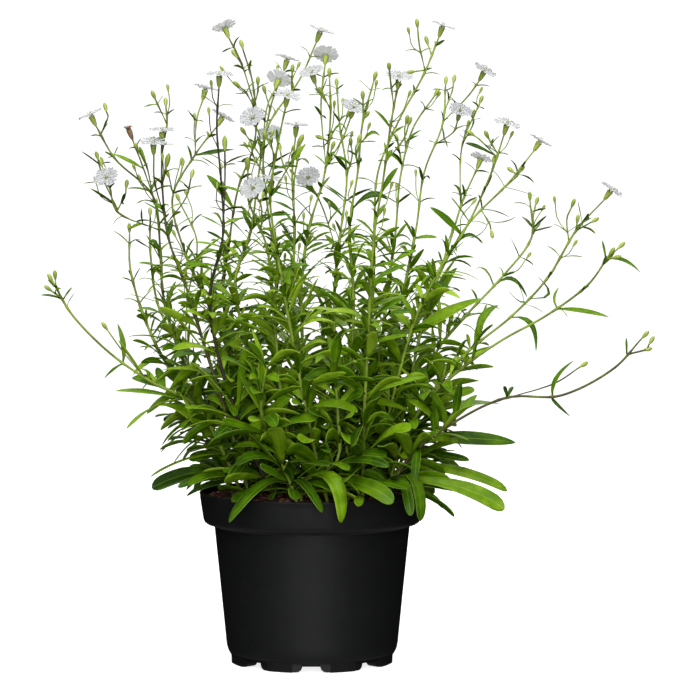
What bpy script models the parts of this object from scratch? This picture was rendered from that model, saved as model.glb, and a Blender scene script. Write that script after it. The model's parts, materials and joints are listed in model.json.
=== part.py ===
"""A small white-flowered rock campion in its black nursery pot.

The pot is a turned shell with a collar and eight drain notches. Compost fills it, with a plain
hole for each stem. Each leafy stem is one solid: its stalk, side stalks, leaves, buds and green
flower cups grow together. Each open white corolla is a solid of its own, set just above its cup.

The stems' places were read off a front view, in millimetres at the pot's axis: x to the right and
z up. spread_by_distance moves such a point to its own depth y, where y grows away from the viewer.
"""
import math
import random

import bmesh
import bpy
from mathutils import Vector
from mathutils.bvhtree import BVHTree

MM = 0.001

# Pot, in millimetres
RIM_RADIUS = 65.0
RIM_HEIGHT = 98.5
COLLAR_HEIGHT = 18.5
COLLAR_FOOT_RADIUS = 62.9
BODY_TOP_RADIUS = 56.4
BODY_FOOT_RADIUS = 49.2
FOOT_RADIUS = 47.5
FOOT_HEIGHT = 6.3
WALL = 1.4
FLOOR_UNDERSIDE = 2.5
FLOOR_TOP = 4.5
FOOT_RING = 3.0
POT_STEPS = 32
NOTCHES = 8
NOTCH_WIDTH = 21.5
NOTCH_HEIGHT = 5.2
NOTCH_REACH = 8.0

# Compost
SOIL_GAP = 0.3
SOIL_TOP = 94.6
SOIL_RELIEF = 0.9
SOIL_STEPS = 24
SOIL_RINGS = (58.0, 40.0, 20.0)
HOLE_DEPTH = 9.0
HOLE_GAP = 0.3

# The front view that the stems' places were read off
VIEW_X = 20.7
VIEW_Z = 268.0
VIEW_DISTANCE = 1700.0

# Stems, cups and buds
STEM_BASE_RADIUS = 1.15
STEM_TOP_RADIUS = 0.75
STEM_TAPER_TO = 300.0
STALK_RADIUS = 0.62
STALK_ROOT_RADIUS = 0.36
STATION_STEP = 31.0
CUP_LENGTH = 7.2
CUP_RADIUS = 1.75
CUP_TO_PETALS = 0.35
BUD_LENGTH = 5.6
BUD_RADIUS = 1.35
SHUT_LENGTH = 9.0
SHUT_RADIUS = 1.7

# Corolla
PETALS = 5
PETAL_REACH = 7.5
PETAL_VALLEY = 2.3
PETAL_THICKNESS = 0.7

# Leaves
LEAF_KEEL = 0.9
ROOT_HALF_WIDTH = 0.42
LEAF_FOOT = 99.0
LEAF_TOP = 244.0
LEAF_SPACING = 22.0
LEAF_CLEARANCE = 0.35
STEM_CLEARANCE = 0.45
LEAF_SEED = 11

# Leaf length, width, climb, droop and widest place along it, by height above the ground
LEAF_HABIT = (
    (95, 40, 9.6, 0.3, 0.28, 0.68),
    (125, 40, 9.2, 0.5, 0.28, 0.64),
    (160, 36, 7.8, 0.65, 0.28, 0.56),
    (200, 27, 5.2, 0.7, 0.26, 0.48),
    (246, 18, 3.0, 0.65, 0.3, 0.44))

# What is tried in turn to bend a leaf clear: swing round the stem, lift, and share of its size
LEAF_TRIES = (
    (0, 0, 1), (0.3, 0.1, 1), (-0.3, 0.1, 1), (0.6, 0, 1), (-0.6, 0, 1), (0, 0.4, 1),
    (0.4, 0.5, 0.9), (-0.4, 0.5, 0.9), (0.9, 0.2, 0.85), (-0.9, 0.2, 0.85), (0, -0.3, 0.9),
    (0, 0.8, 0.75), (1.2, 0.5, 0.7), (-1.2, 0.5, 0.7), (0, 0.3, 0.6))

# The share of a stem's faces to keep when its crowded corners are merged, raised until it is sound
THINNING = 0.51
THINNING_STEP = 0.01
NUDGE = 0.12
NUDGES = 20

# What is tried in turn to bend a stalk clear in depth
DEPTH_SHIFTS = (0, 4, -4, 8, -8, 12, -12, 17, -17, 23, -23, 30, -30)

GREEN = (0.13, 0.29, 0.03)
WHITE = (0.86, 0.88, 0.88)
BLACK = (0.014, 0.015, 0.015)
BROWN = (0.045, 0.022, 0.014)

SPRAYS = []


def spray(name, foot, depth, end, stem, *sides):
    """Note one leafy stem: its foot in the compost, its depth at the top, how it ends, the points
    that it passes, and its side growth, each as its end and its points from the fork on."""
    SPRAYS.append((name, foot, depth, end, stem, sides))


spray("stem_left_reach", (-40, -14), -34, "bud",
      [(-60, 138), (-80, 158), (-97, 163), (-109, 171), (-125, 187), (-145, 208), (-152, 224)],
      ("bud", [(-145, 208), (-147, 216), (-148, 226)]),
      ("bud", [(-145, 208), (-150, 212), (-154, 217)]),
      ("bud", [(-97, 163), (-107, 177), (-116, 187), (-121, 196)]),
      ("leaf", [(-50, 122), (-72, 144), (-90, 148)], -6),
      ("leaf", [(-109, 171), (-108, 183), (-112, 195)]),
      ("leaf", [(-109, 171), (-120, 164)]),
      ("leaf", [(-145, 208), (-156, 212)]),
      ("leaf", [(-145, 208), (-138, 216)]))
spray("stem_left_wand", (-33, 12), 24, "bud",
      [(-62, 140), (-78, 163), (-90, 182), (-97, 200), (-104, 222), (-103, 240), (-105, 253)],
      ("leaf", [(-97, 200), (-101, 203)]),
      ("leaf", [(-97, 200), (-86, 196)]),
      ("leaf", [(-104, 222), (-106, 227)]))
spray("stem_left_tall", (-46, 3), -8, "bloom",
      [(-58, 138), (-70, 165), (-80, 188), (-85, 204), (-86, 232), (-90, 250), (-90, 266),
       (-102, 279), (-114, 291), (-121, 304), (-127, 315)],
      ("bloom", [(-90, 250), (-103, 255), (-113, 260), (-117, 266), (-118, 279)], -14, 0.7),
      ("bud", [(-121, 304), (-117, 313), (-119, 322)]),
      ("bud", [(-113, 260), (-108, 266), (-106, 278)]),
      ("withered", [(-90, 266), (-97, 285), (-106, 309)]),
      ("bud", [(-90, 266), (-96, 290), (-102, 299)]),
      ("bud", [(-113, 260), (-119, 276), (-124, 294)], 18),
      ("leaf", [(-114, 291), (-119, 294)]),
      ("leaf", [(-86, 232), (-90, 242), (-95, 242)]),
      ("leaf", [(-50, 108), (-70, 109), (-93, 101)], -8),
      ("leaf", [(-85, 204), (-78, 196)]))
spray("stem_left_second", (-35, -28), -46, "bloom",
      [(-48, 138), (-60, 176), (-72, 215), (-80, 238), (-85, 253), (-86, 275), (-84, 292),
       (-86, 306)],
      ("bud", [(-84, 292), (-83, 311), (-84, 325)]),
      ("bud", [(-83, 308), (-88, 320), (-92, 329)]),
      ("bud", [(-85, 253), (-76, 262), (-70, 272), (-68, 284)]),
      ("bloom", [(-85, 253), (-91, 280), (-91, 299)], -12, 0.05),
      ("shut", [(-86, 275), (-84, 283), (-82, 293)]))
spray("stem_left_slant", (-22, -6), 36, "bloom",
      [(-40, 140), (-52, 190), (-66, 219), (-75, 242), (-79, 262), (-80, 277), (-67, 292),
       (-54, 305), (-51, 314)],
      ("bloom", [(-67, 292), (-68, 304), (-66, 312), (-61, 330)], 8, 0.05),
      ("bud", [(-80, 270), (-84, 284)]),
      ("bud", [(-78, 279), (-74, 290)]),
      ("leaf", [(-67, 292), (-56, 294), (-45, 296)]))
spray("stem_left_thin", (-30, 31), 72, "bud",
      [(-54, 138), (-74, 178), (-87, 201), (-92, 225), (-93, 245), (-93, 262)],
      ("bud", [(-74, 178), (-71, 215), (-66, 241), (-72, 256), (-78, 270)], 10),
      ("leaf", [(-87, 201), (-79, 195)]))
spray("stem_dark", (-20, -40), -62, "bloom",
      [(-42, 138), (-58, 195), (-57, 222), (-50, 252), (-52, 275), (-54, 300), (-55, 318),
       (-53, 338)],
      ("shut", [(-50, 252), (-50, 275), (-50, 303)]),
      ("leaf", [(-50, 252), (-54, 258), (-58, 259)]),
      ("leaf", [(-50, 252), (-39, 256)]))
spray("stem_left_high", (-20, 18), 30, "bud",
      [(-36, 140), (-50, 198), (-50, 225), (-46, 252), (-43, 270), (-38, 288), (-32, 303),
       (-32, 319), (-34, 333), (-38, 350), (-41, 358)],
      ("bloom", [(-32, 319), (-37, 333), (-40, 343), (-43, 356), (-50, 365)], 12, -0.1),
      ("bud", [(-40, 343), (-46, 352)]),
      ("bud", [(-32, 319), (-31, 327), (-31, 337)]),
      ("bud", [(-32, 319), (-38, 328), (-45, 334)]),
      ("leaf", [(-44, 262), (-60, 281)]))
spray("stem_pale", (-12, 0), -10, "bloom",
      [(-28, 140), (-41, 200), (-44, 226), (-35, 249), (-31, 275), (-31, 297), (-20, 316),
       (-12, 327), (-4, 341), (5, 363)],
      ("bloom", [(-31, 290), (-30, 303), (-34, 313)], -16, 0.4),
      ("bloom", [(-31, 297), (-27, 314), (-23, 326), (-19, 335)], 16, -0.4),
      ("bud", [(-12, 327), (-11, 344)]),
      ("bud", [(-31, 290), (-41, 308)]),
      ("leaf", [(-35, 249), (-40, 260)]),
      ("leaf", [(-35, 249), (-26, 258)]))
spray("stem_front_left", (-6, -20), -84, "shut",
      [(-16, 140), (-22, 200), (-24, 228), (-29, 250), (-36, 264), (-37, 280), (-37, 291)],
      ("bloom", [(-29, 250), (-29, 262), (-34, 273)], -12, 0.5),
      ("bloom", [(-29, 250), (-25, 264), (-23, 278)], 14, 0.6),
      ("leaf", [(-29, 250), (-20, 249)]))
spray("stem_middle_back", (-8, 36), 66, "bloom",
      [(-18, 140), (-22, 200), (-20, 228), (-25, 258), (-28, 280), (-27, 300), (-24, 318),
       (-19, 333), (-14, 347)],
      ("bloom", [(-28, 274), (-22, 290), (-24, 304)], -16, 0.3),
      ("bud", [(-28, 280), (-34, 292), (-36, 300)]),
      ("bud", [(-24, 318), (-28, 332)]))
spray("stem_front_middle", (9, -43), -96, "bloom",
      [(-2, 138), (-12, 190), (-20, 236), (-24, 268), (-22, 290), (-16, 308), (-14, 326)],
      ("shut", [(-24, 268), (-12, 288), (-5, 304)]),
      ("bud", [(-22, 290), (-28, 306)]),
      ("leaf", [(8, 103), (28, 103), (47, 93)], -27),
      ("leaf", [(-20, 236), (-24, 243)]))
spray("stem_middle", (0, 14), 16, "bloom",
      [(-6, 140), (-10, 200), (-11, 228), (-10, 250), (-11, 275), (-12, 291), (-9, 309)],
      ("shut", [(-10, 250), (-13, 264), (-9, 280), (-7, 298)]),
      ("bud", [(-11, 275), (-17, 288), (-19, 299)]),
      ("leaf", [(-11, 260), (-24, 266)]))
spray("stem_centre_fan", (8, -8), -40, "bud",
      [(-2, 140), (-6, 200), (-4, 240), (3, 264), (8, 285), (9, 300), (11, 318), (9, 330),
       (10, 342)],
      ("bloom", [(8, 285), (4, 306), (7, 332), (8, 349)], 22, -0.6),
      ("bloom", [(11, 318), (4, 328), (0, 339)], -10, 0.1),
      ("bud", [(11, 318), (4, 331)]),
      ("bud", [(9, 300), (2, 303)]),
      ("bud", [(8, 285), (13, 300)]),
      ("bloom", [(8, 285), (16, 298), (24, 319)], -14, 0.3),
      ("leaf", [(9, 300), (16, 310), (20, 306)]))
spray("stem_centre_back", (16, 24), 60, "bud",
      [(12, 140), (13, 200), (14, 235), (18, 256), (20, 280), (17, 304), (13, 320), (14, 336)],
      ("bud", [(20, 280), (23, 290), (22, 302)]),
      ("bloom", [(14, 235), (6, 262), (-2, 279)], -24, 0.5),
      ("bud", [(17, 304), (22, 318)]),
      ("leaf", [(18, 256), (6, 268)]))
spray("stem_centre_right", (21, -26), -66, "bud",
      [(20, 140), (24, 200), (22, 240), (22, 262), (27, 285), (30, 301), (29, 312), (31, 323),
       (37, 340)],
      ("bud", [(29, 312), (27, 320), (29, 329)]),
      ("bud", [(29, 312), (33, 317)]),
      ("bud", [(27, 285), (25, 295), (28, 304)]),
      ("leaf", [(30, 301), (34, 305), (39, 303)]),
      ("leaf", [(22, 262), (34, 270), (44, 267)]))
spray("stem_right_bowed", (29, -38), -92, "bloom",
      [(30, 140), (33, 200), (35, 240), (40, 270), (42, 290), (45, 308), (47, 320), (50, 337)],
      ("bud", [(42, 290), (52, 300), (57, 314)]),
      ("bud", [(47, 320), (45, 335), (44, 345)]),
      ("leaf", [(45, 308), (36, 318)]),
      ("leaf", [(40, 270), (49, 285)]))
spray("stem_right_tall", (21, 3), 4, "bloom",
      [(26, 140), (34, 200), (36, 236), (36, 262), (39, 288), (46, 305), (53, 316), (60, 327),
       (65, 341), (67, 350), (75, 366)],
      ("bud", [(65, 341), (62, 352), (60, 370)]),
      ("bud", [(67, 350), (65, 360)]),
      ("bud", [(65, 341), (59, 345), (54, 339)]),
      ("leaf", [(65, 341), (69, 342)]),
      ("leaf", [(46, 305), (53, 309)]))
spray("stem_right_curved", (33, 14), 34, "bud",
      [(34, 140), (42, 200), (46, 235), (50, 262), (51, 285), (54, 297), (58, 307), (66, 319),
       (73, 330)],
      ("bud", [(51, 285), (48, 304)]),
      ("bud", [(54, 297), (53, 304), (55, 315)]),
      ("leaf", [(51, 285), (45, 293), (38, 292)]),
      ("leaf", [(46, 235), (36, 246)]))
spray("stem_right_upper", (31, 33), 76, "bud",
      [(38, 140), (50, 200), (57, 235), (62, 262), (65, 285), (70, 299), (76, 312), (77, 322),
       (77, 337)],
      ("bud", [(77, 318), (80, 327), (82, 338)]),
      ("bloom", [(76, 312), (86, 321), (99, 340)], -18, 0.05),
      ("bloom", [(70, 299), (80, 303), (85, 317)], -20, 0.1),
      ("leaf", [(62, 245), (53, 255)]),
      ("leaf", [(62, 245), (72, 245)]))
spray("stem_right_swept", (34, -11), -38, "bloom",
      [(44, 140), (56, 188), (70, 220), (82, 242), (92, 255), (100, 270), (103, 284),
       (102, 293), (105, 300), (112, 310)],
      ("bud", [(102, 293), (99, 306)]),
      ("bud", [(103, 284), (105, 292)]),
      ("bud", [(102, 293), (96, 301), (89, 306)]),
      ("leaf", [(102, 293), (95, 297), (88, 299)]),
      ("leaf", [(82, 242), (90, 246), (98, 242)]),
      ("leaf", [(58, 192), (78, 202), (97, 210)]),
      ("leaf", [(82, 250), (68, 262)]))
spray("stem_right_wing", (44, 5), 14, "bloom",
      [(52, 140), (64, 195), (76, 230), (88, 250), (100, 262), (110, 272), (115, 281),
       (121, 291), (131, 300)],
      ("bud", [(110, 272), (118, 280), (122, 286)]),
      ("bud", [(118, 280), (112, 285)]),
      ("bud", [(100, 262), (103, 250), (104, 244)]),
      ("leaf", [(52, 140), (82, 148), (108, 150)]),
      ("leaf", [(64, 195), (83, 228)]))
spray("stem_right_arch", (45, 20), 44, "bud",
      [(54, 138), (70, 176), (85, 196), (95, 206), (106, 218), (116, 230), (125, 242),
       (129, 256), (125, 271)],
      ("bud", [(129, 256), (130, 268)]),
      ("bud", [(125, 242), (131, 254)]),
      ("leaf", [(106, 218), (100, 226), (94, 227)]),
      ("leaf", [(106, 218), (115, 221), (124, 210)]))
spray("stem_right_back", (16, 42), 96, "bloom",
      [(34, 138), (56, 186), (72, 220), (80, 245), (85, 262), (92, 276), (97, 290)],
      ("bud", [(85, 262), (85, 290), (91, 312), (98, 326)], 10),
      ("bud", [(86, 300), (92, 308), (93, 318)]),
      ("leaf", [(85, 262), (85, 271), (81, 275)]),
      ("leaf", [(85, 262), (95, 268)]))
spray("stem_right_side", (46, -8), -20, "bloom",
      [(60, 140), (78, 166), (95, 184), (113, 198), (127, 207), (134, 219), (139, 227),
       (147, 241), (152, 249), (157, 257), (163, 264), (172, 272)],
      ("bud", [(147, 241), (146, 252), (148, 260), (151, 267)]),
      ("bud", [(152, 249), (158, 253), (165, 256)]),
      ("bud", [(152, 249), (153, 258)]),
      ("leaf", [(127, 207), (120, 208), (114, 214)]),
      ("leaf", [(127, 207), (136, 212), (130, 222)]),
      ("leaf", [(113, 198), (126, 195), (129, 179)]),
      ("leaf", [(56, 130), (90, 130), (118, 128)], 6),
      ("leaf", [(95, 184), (98, 198), (107, 206)]))
spray("stem_right_reach", (42, -24), -50, "bud",
      [(56, 136), (74, 158), (92, 174), (110, 186), (125, 195), (141, 203), (150, 211),
       (162, 220), (171, 230), (174, 239)],
      ("bud", [(171, 230), (176, 236), (180, 242)]),
      ("bud", [(171, 230), (178, 234)]),
      ("leaf", [(141, 203), (155, 203), (171, 200)]),
      ("leaf", [(141, 203), (139, 210), (142, 216)]),
      ("leaf", [(171, 230), (167, 243)]),
      ("leaf", [(48, 112), (82, 110), (113, 99)], 4),
      ("leaf", [(171, 230), (179, 232), (189, 225)]))
spray("stem_right_low", (41, -38), -72, "bud",
      [(58, 120), (76, 134), (95, 146), (110, 152), (125, 153), (138, 152), (155, 159),
       (170, 167), (185, 176), (194, 191)],
      ("bud", [(185, 176), (192, 180), (197, 188)]),
      ("bud", [(185, 176), (191, 178), (196, 181)]),
      ("bud", [(110, 152), (130, 157), (152, 166), (159, 173)], 14),
      ("leaf", [(138, 152), (141, 164), (150, 174)]),
      ("leaf", [(138, 152), (141, 150), (149, 142)]),
      ("leaf", [(48, 108), (84, 102), (112, 89)], -4),
      ("leaf", [(50, 107), (60, 105), (63, 81)], -16),
      ("leaf", [(47, 106), (54, 103), (57, 84)], -24),
      ("leaf", [(185, 176), (181, 187)]))
spray("stem_front_skirt", (-8, -46), -74, "leafy",
      [(-14, 112), (-22, 122), (-28, 138), (-30, 156), (-26, 172)],
      ("leafy", [(-10, 104), (12, 112), (14, 132), (15, 156), (12, 172)], -4),
      ("leaf", [(-10, 104), (-28, 103), (-49, 81)], -22),
      ("leaf", [(-10, 104), (-6, 104), (6, 86)], -27),
      ("leaf", [(-10, 104), (10, 107), (17, 80)], -29))
spray("stem_back_skirt", (-30, 44), 84, "leafy",
      [(-34, 112), (-40, 130), (-44, 152), (-42, 176), (-36, 196)],
      ("leafy", [(-34, 112), (-4, 128), (6, 150), (8, 176), (4, 196)], 24))


def spread_by_distance(x, z, y):
    """Move a point read at the pot's axis to its own depth, along the line of sight."""
    scale = 1 + y / VIEW_DISTANCE
    return Vector((VIEW_X + (x - VIEW_X) * scale, y, VIEW_Z + (z - VIEW_Z) * scale))


def front_view(point):
    """Where a point is seen at the pot's axis."""
    scale = 1 + point.y / VIEW_DISTANCE
    return VIEW_X + (point.x - VIEW_X) / scale, VIEW_Z + (point.z - VIEW_Z) / scale


def smooth_path(points, step):
    """Even samples, about a step apart, of a smooth curve through the points."""
    ends = [2 * points[0] - points[1]] + list(points) + [2 * points[-1] - points[-2]]
    fine = []
    for a, b, c, d in zip(ends, ends[1:], ends[2:], ends[3:]):
        for k in range(12):
            t = k / 12
            fine.append(0.5 * (2 * b + (c - a) * t + (2 * a - 5 * b + 4 * c - d) * t * t
                               + (3 * b - a - 3 * c + d) * t ** 3))
    fine.append(points[-1].copy())
    length = sum((q - p).length for p, q in zip(fine, fine[1:]))
    count = max(2, round(length / step))
    samples = [fine[0]]
    walked = 0.0
    for p, q in zip(fine, fine[1:]):
        walked += (q - p).length
        if len(samples) < count and walked >= length * len(samples) / count:
            samples.append(q)
    return samples + [fine[-1]]


def skin(rings, tip=None):
    """Loft a chain of rings of equal corners, closed by a flat face or drawn to a tip."""
    corners = len(rings[0])
    verts = [corner for ring in rings for corner in ring]
    faces = [tuple(reversed(range(corners)))]
    for start in range(0, len(verts) - corners, corners):
        for k in range(corners):
            a, b = start + k, start + (k + 1) % corners
            faces += [(a, b, b + corners), (a, b + corners, a + corners)]
    last = len(verts) - corners
    if tip is None:
        faces.append(tuple(range(last, last + corners)))
    else:
        faces += [(last + k, last + (k + 1) % corners, len(verts)) for k in range(corners)]
        verts.append(tip)
    return verts, faces


def tube(points, radii, corners, grow=0.0):
    """A stalk with its own radius at each point. A last radius of zero draws it to a tip."""
    rings = []
    side = (points[1] - points[0]).orthogonal()
    for i, point in enumerate(points):
        along = (points[min(i + 1, len(points) - 1)] - points[max(i - 1, 0)]).normalized()
        side = (side - along * side.dot(along)).normalized()
        across = along.cross(side)
        turns = [2 * math.pi * k / corners for k in range(corners)]
        rings.append([point + (side * math.cos(a) + across * math.sin(a)) * (radii[i] + grow)
                      for a in turns])
    if radii[-1] > 0:
        return skin(rings)
    return skin(rings[:-1], points[-1] + (points[-1] - points[-2]).normalized() * grow)


def leaf_breadth(t, peak):
    """Half width at t along a leaf, as a share of its widest half width."""
    if t < peak:
        rise = t / peak
        return 0.3 + 0.7 * rise * rise * (3 - 2 * rise)
    fall = (t - peak) / (1 - peak)
    blunt = 2.2 + 4 * max(0, peak - 0.5)
    return max(0.0, 1 - fall ** blunt) ** 0.75


def leaf_point(leaf, t):
    """The midrib at t along a leaf, from its root to its tip."""
    root, bend, tip = leaf["curve"]
    return root * (1 - t) ** 2 + bend * 2 * t * (1 - t) + tip * t * t


def leaf_blade(leaf, stations, grow=0.0):
    """A blade that is flat above and keeled below, or a looser hull round it if grown."""
    rings = []
    side = leaf["side"]
    for t in stations:
        point = leaf_point(leaf, t)
        along = (leaf_point(leaf, t + 0.01) - leaf_point(leaf, t - 0.01)).normalized()
        above = side.cross(along).normalized()
        share = leaf_breadth(t, leaf["peak"])
        half = leaf["width"] / 2 * share if t else ROOT_HALF_WIDTH
        keel = LEAF_KEEL * (0.7 + 0.3 * share) if t else 0.5
        if grow:
            left, right = point - side * (half + grow), point + side * (half + grow)
            rings.append([right + above * grow, right - above * grow,
                          point - above * (keel + grow), left - above * grow, left + above * grow])
        else:
            rings.append([point + side * half, point - above * keel, point - side * half])
    tip = leaf["curve"][2]
    return skin(rings, tip + (tip - leaf["curve"][1]).normalized() * grow)


def corolla_outline(rise, rng):
    """Corners of the toothed petals round the axis: turn, reach, and height along the axis."""
    corners = []
    for petal in range(PETALS):
        middle = 2 * math.pi * petal / PETALS
        size = rng.uniform(0.92, 1.05)
        lift = rise + rng.uniform(-0.5, 0.5)
        for turn, reach in ((-0.60, 0), (-0.44, 0.66), (-0.20, 1), (0, 0.78), (0.20, 1),
                            (0.44, 0.66)):
            out = PETAL_VALLEY + (PETAL_REACH * size - PETAL_VALLEY) * reach
            height = lift * reach ** 1.3
            corners.append((middle + turn, math.sqrt(max(9.0, out * out - height * height))
                            if reach else PETAL_VALLEY, height))
    return corners


def corolla_shape(bloom, grow=0.0):
    """A toothed dish of even thickness across the flower's axis."""
    axis, place = bloom["axis"], bloom["place"]
    side = axis.orthogonal().normalized()
    across = axis.cross(side)
    above = axis * grow
    below = axis * -(PETAL_THICKNESS + grow / 2)
    top = [place + (side * math.cos(turn) + across * math.sin(turn)) * (reach + grow)
           + axis * height + above for turn, reach, height in bloom["outline"]]
    bottom = [corner - above + below for corner in top]
    count = len(top)
    verts = top + bottom + [place + above, place + below]
    faces = []
    for k in range(count):
        n = (k + 1) % count
        faces += [(k, n, 2 * count), (count + n, count + k, 2 * count + 1),
                  (count + k, count + n, n), (count + k, n, k)]
    return verts, faces


class Crowd:
    """What already stands, to tell whether a new piece would touch it."""

    def __init__(self):
        self.pieces = []

    def add(self, owner, shape):
        low, high = extent(shape)
        self.pieces.append((owner, low, high, BVHTree.FromPolygons(*shape)))

    def touches(self, shape, only=None, but=None):
        """Whether the shape meets a piece, of one owner only or of any but one."""
        low, high = extent(shape)
        tree = None
        for owner, other_low, other_high, other in self.pieces:
            if owner == but or (only is not None and owner != only):
                continue
            if any(low[k] > other_high[k] or high[k] < other_low[k] for k in range(3)):
                continue
            tree = tree or BVHTree.FromPolygons(*shape)
            if tree.overlap(other):
                return True
        return False


def extent(shape):
    verts = shape[0]
    return ([min(v[k] for v in verts) for k in range(3)],
            [max(v[k] for v in verts) for k in range(3)])


def pot_hull():
    """The pot and its compost as one plain turned shape that leaves stay clear of."""
    outer = RIM_RADIUS + 0.4
    profile = ((1, SOIL_TOP - 12), (COLLAR_FOOT_RADIUS, RIM_HEIGHT - COLLAR_HEIGHT),
               (outer, RIM_HEIGHT - 3), (outer, RIM_HEIGHT), (outer - 2.4, RIM_HEIGHT),
               (outer - 2.8, SOIL_TOP + SOIL_RELIEF), (1, SOIL_TOP + SOIL_RELIEF))
    turns = [2 * math.pi * k / 36 for k in range(36)]
    return skin([[Vector((r * math.cos(a), r * math.sin(a), z)) for a in turns]
                 for r, z in profile])


def swelling(end):
    """How a stalk swells at its end: distances back from the end, each with its radius."""
    if end == "bloom":
        top = PETAL_THICKNESS + CUP_TO_PETALS
        return ((CUP_LENGTH, STALK_RADIUS), (CUP_LENGTH - 1.3, 1.05), (top + 2.4, 1.5),
                (top, CUP_RADIUS))
    if end in ("shut", "withered"):
        return ((SHUT_LENGTH, STALK_RADIUS), (SHUT_LENGTH - 1.6, 1.1), (3.0, SHUT_RADIUS),
                (0, 0))
    if end == "bud":
        return ((BUD_LENGTH, STALK_RADIUS), (BUD_LENGTH * 0.7, 1.1),
                (BUD_LENGTH * 0.33, BUD_RADIUS), (0, 0))
    return ((0, 0),)


def stem_radius(point):
    share = min(1, max(0, (point.z - SOIL_TOP) / (STEM_TAPER_TO - SOIL_TOP)))
    return STEM_BASE_RADIUS + (STEM_TOP_RADIUS - STEM_BASE_RADIUS) * share


def make_strand(path, end, nod, outline, trunk):
    """One stalk with the swelling of its end, and its corolla if it blooms."""
    swell = swelling(end)
    tip = path[-1]
    kept = [p for p in path[:-1] if (p - tip).length > swell[0][0] + 2.5] or path[:1]
    aim = (tip - kept[-1]).normalized()
    if end == "bloom":
        aim = (aim + Vector((0, -nod, 0.15))).normalized()
    points = kept + [tip - aim * back for back, _ in swell]
    radii = [stem_radius(p) if trunk or end == "leafy" else STALK_RADIUS for p in kept]
    radii += [radius for _, radius in swell]
    if not trunk:
        radii[0] = STALK_ROOT_RADIUS
    bloom = {"place": tip, "axis": aim, "outline": outline} if end == "bloom" else None
    return {"points": points, "radii": radii, "corners": 4 if trunk else 3, "end": end,
            "bloom": bloom, "trunk": trunk}


def place_strand(crowd, owner, places, end, nod, rise, foot=None):
    """Set a stalk where it meets nothing of another stem, by bending it more and more in depth."""
    rng = random.Random(f"{owner} {places[-1].x:.0f} {places[-1].z:.0f}")
    outline = corolla_outline(rise, rng)
    first = None
    for shift in DEPTH_SHIFTS:
        count = len(places) - 1
        bent = []
        for k, place in enumerate(places):
            x, z = front_view(place)
            bent.append(spread_by_distance(x, z, place.y + shift * (k / count) ** 0.7))
        bent[0] = places[0]
        path = smooth_path(bent, STATION_STEP)
        if foot:
            path.insert(0, foot)
        strand = make_strand(path, end, nod, outline, bool(foot))
        first = first or strand
        start = 0 if foot else 1
        hull = tube(strand["points"][start:], strand["radii"][start:], strand["corners"],
                    STEM_CLEARANCE)
        guard = corolla_shape(strand["bloom"], LEAF_CLEARANCE) if strand["bloom"] else None
        if crowd.touches(hull, but=owner):
            continue
        if guard and crowd.touches(guard):
            continue
        return strand, True
    return first, False


def add_strand(crowd, owner, strand, strands):
    """Note a placed stalk, and its corolla as a piece of its own."""
    strands.append(strand)
    crowd.add(owner, tube(strand["points"], strand["radii"], strand["corners"]))
    if strand["bloom"]:
        crowd.add(owner + " corolla", corolla_shape(strand["bloom"]))


def place_leaf(crowd, owner, make, tries):
    """Set the first of a leaf's tried places where it meets nothing but its own stem's foot."""
    for change in tries:
        leaf = make(*change)
        stations = leaf_stations(leaf)
        if crowd.touches(leaf_blade(leaf, stations, LEAF_CLEARANCE), but=owner):
            continue
        if crowd.touches(leaf_blade(leaf, stations[1:], LEAF_CLEARANCE / 2), only=owner):
            continue
        crowd.add(owner, leaf_blade(leaf, stations))
        return leaf
    return None


def leaf_stations(leaf):
    """Where a leaf has its rings: fewer on a bract, more on a broad leaf."""
    if leaf["width"] < 2.6:
        return (0, 0.42)
    if leaf["width"] < 5.5:
        return (0, 0.34, 0.72)
    return (0, 0.32, 0.64, 0.88)


def rule_leaf(root, turn, length, width, climb, droop, peak, twist):
    """A leaf that leaves its stem at a turn round it and a climb, and droops towards its tip."""
    out = Vector((math.cos(turn), math.sin(turn), 0))
    bend = root + (out * math.cos(climb) + Vector((0, 0, math.sin(climb)))) * (length / 2)
    tip = 2 * bend - root - Vector((0, 0, droop * length))
    flat = out.cross(Vector((0, 0, 1)))
    side = (flat * math.cos(twist) + Vector((0, 0, math.sin(twist)))).normalized()
    return {"curve": (root, bend, tip), "side": side, "width": width, "peak": peak}


def growth_height(place):
    """Height of a place above the ground, with more for how far it reaches out of the pot."""
    return place.z + 1.6 * max(0, math.hypot(place.x, place.y) - 70)


def leaf_habit(height):
    """Length, width, climb, droop and peak of a leaf by its growth height."""
    for (low, *a), (high, *b) in zip(LEAF_HABIT, LEAF_HABIT[1:]):
        if height <= high:
            share = max(0, (height - low) / (high - low))
            return [p + (q - p) * share for p, q in zip(a, b)]
    return LEAF_HABIT[-1][1:]


def grow_pair(crowd, owner, root, turn, rng):
    """A pair of opposite leaves, each bent clear or left out."""
    pair = []
    for half in (0, math.pi):
        length, width, climb, droop, peak = leaf_habit(growth_height(root))
        length *= rng.uniform(0.85, 1.15)
        width *= rng.uniform(0.85, 1.15)
        climb += rng.uniform(-0.3, 0.3)
        droop *= rng.uniform(0.3, 1.8)
        twist = rng.uniform(-0.7, 0.7)
        start = turn + half + rng.uniform(-0.25, 0.25)

        def make(swing, lift, scale):
            return rule_leaf(root, start + swing, length * scale, width * (0.5 + 0.5 * scale),
                             climb + lift, droop, peak, twist)
        leaf = place_leaf(crowd, owner, make, LEAF_TRIES)
        if leaf:
            pair.append(leaf)
    return pair


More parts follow.
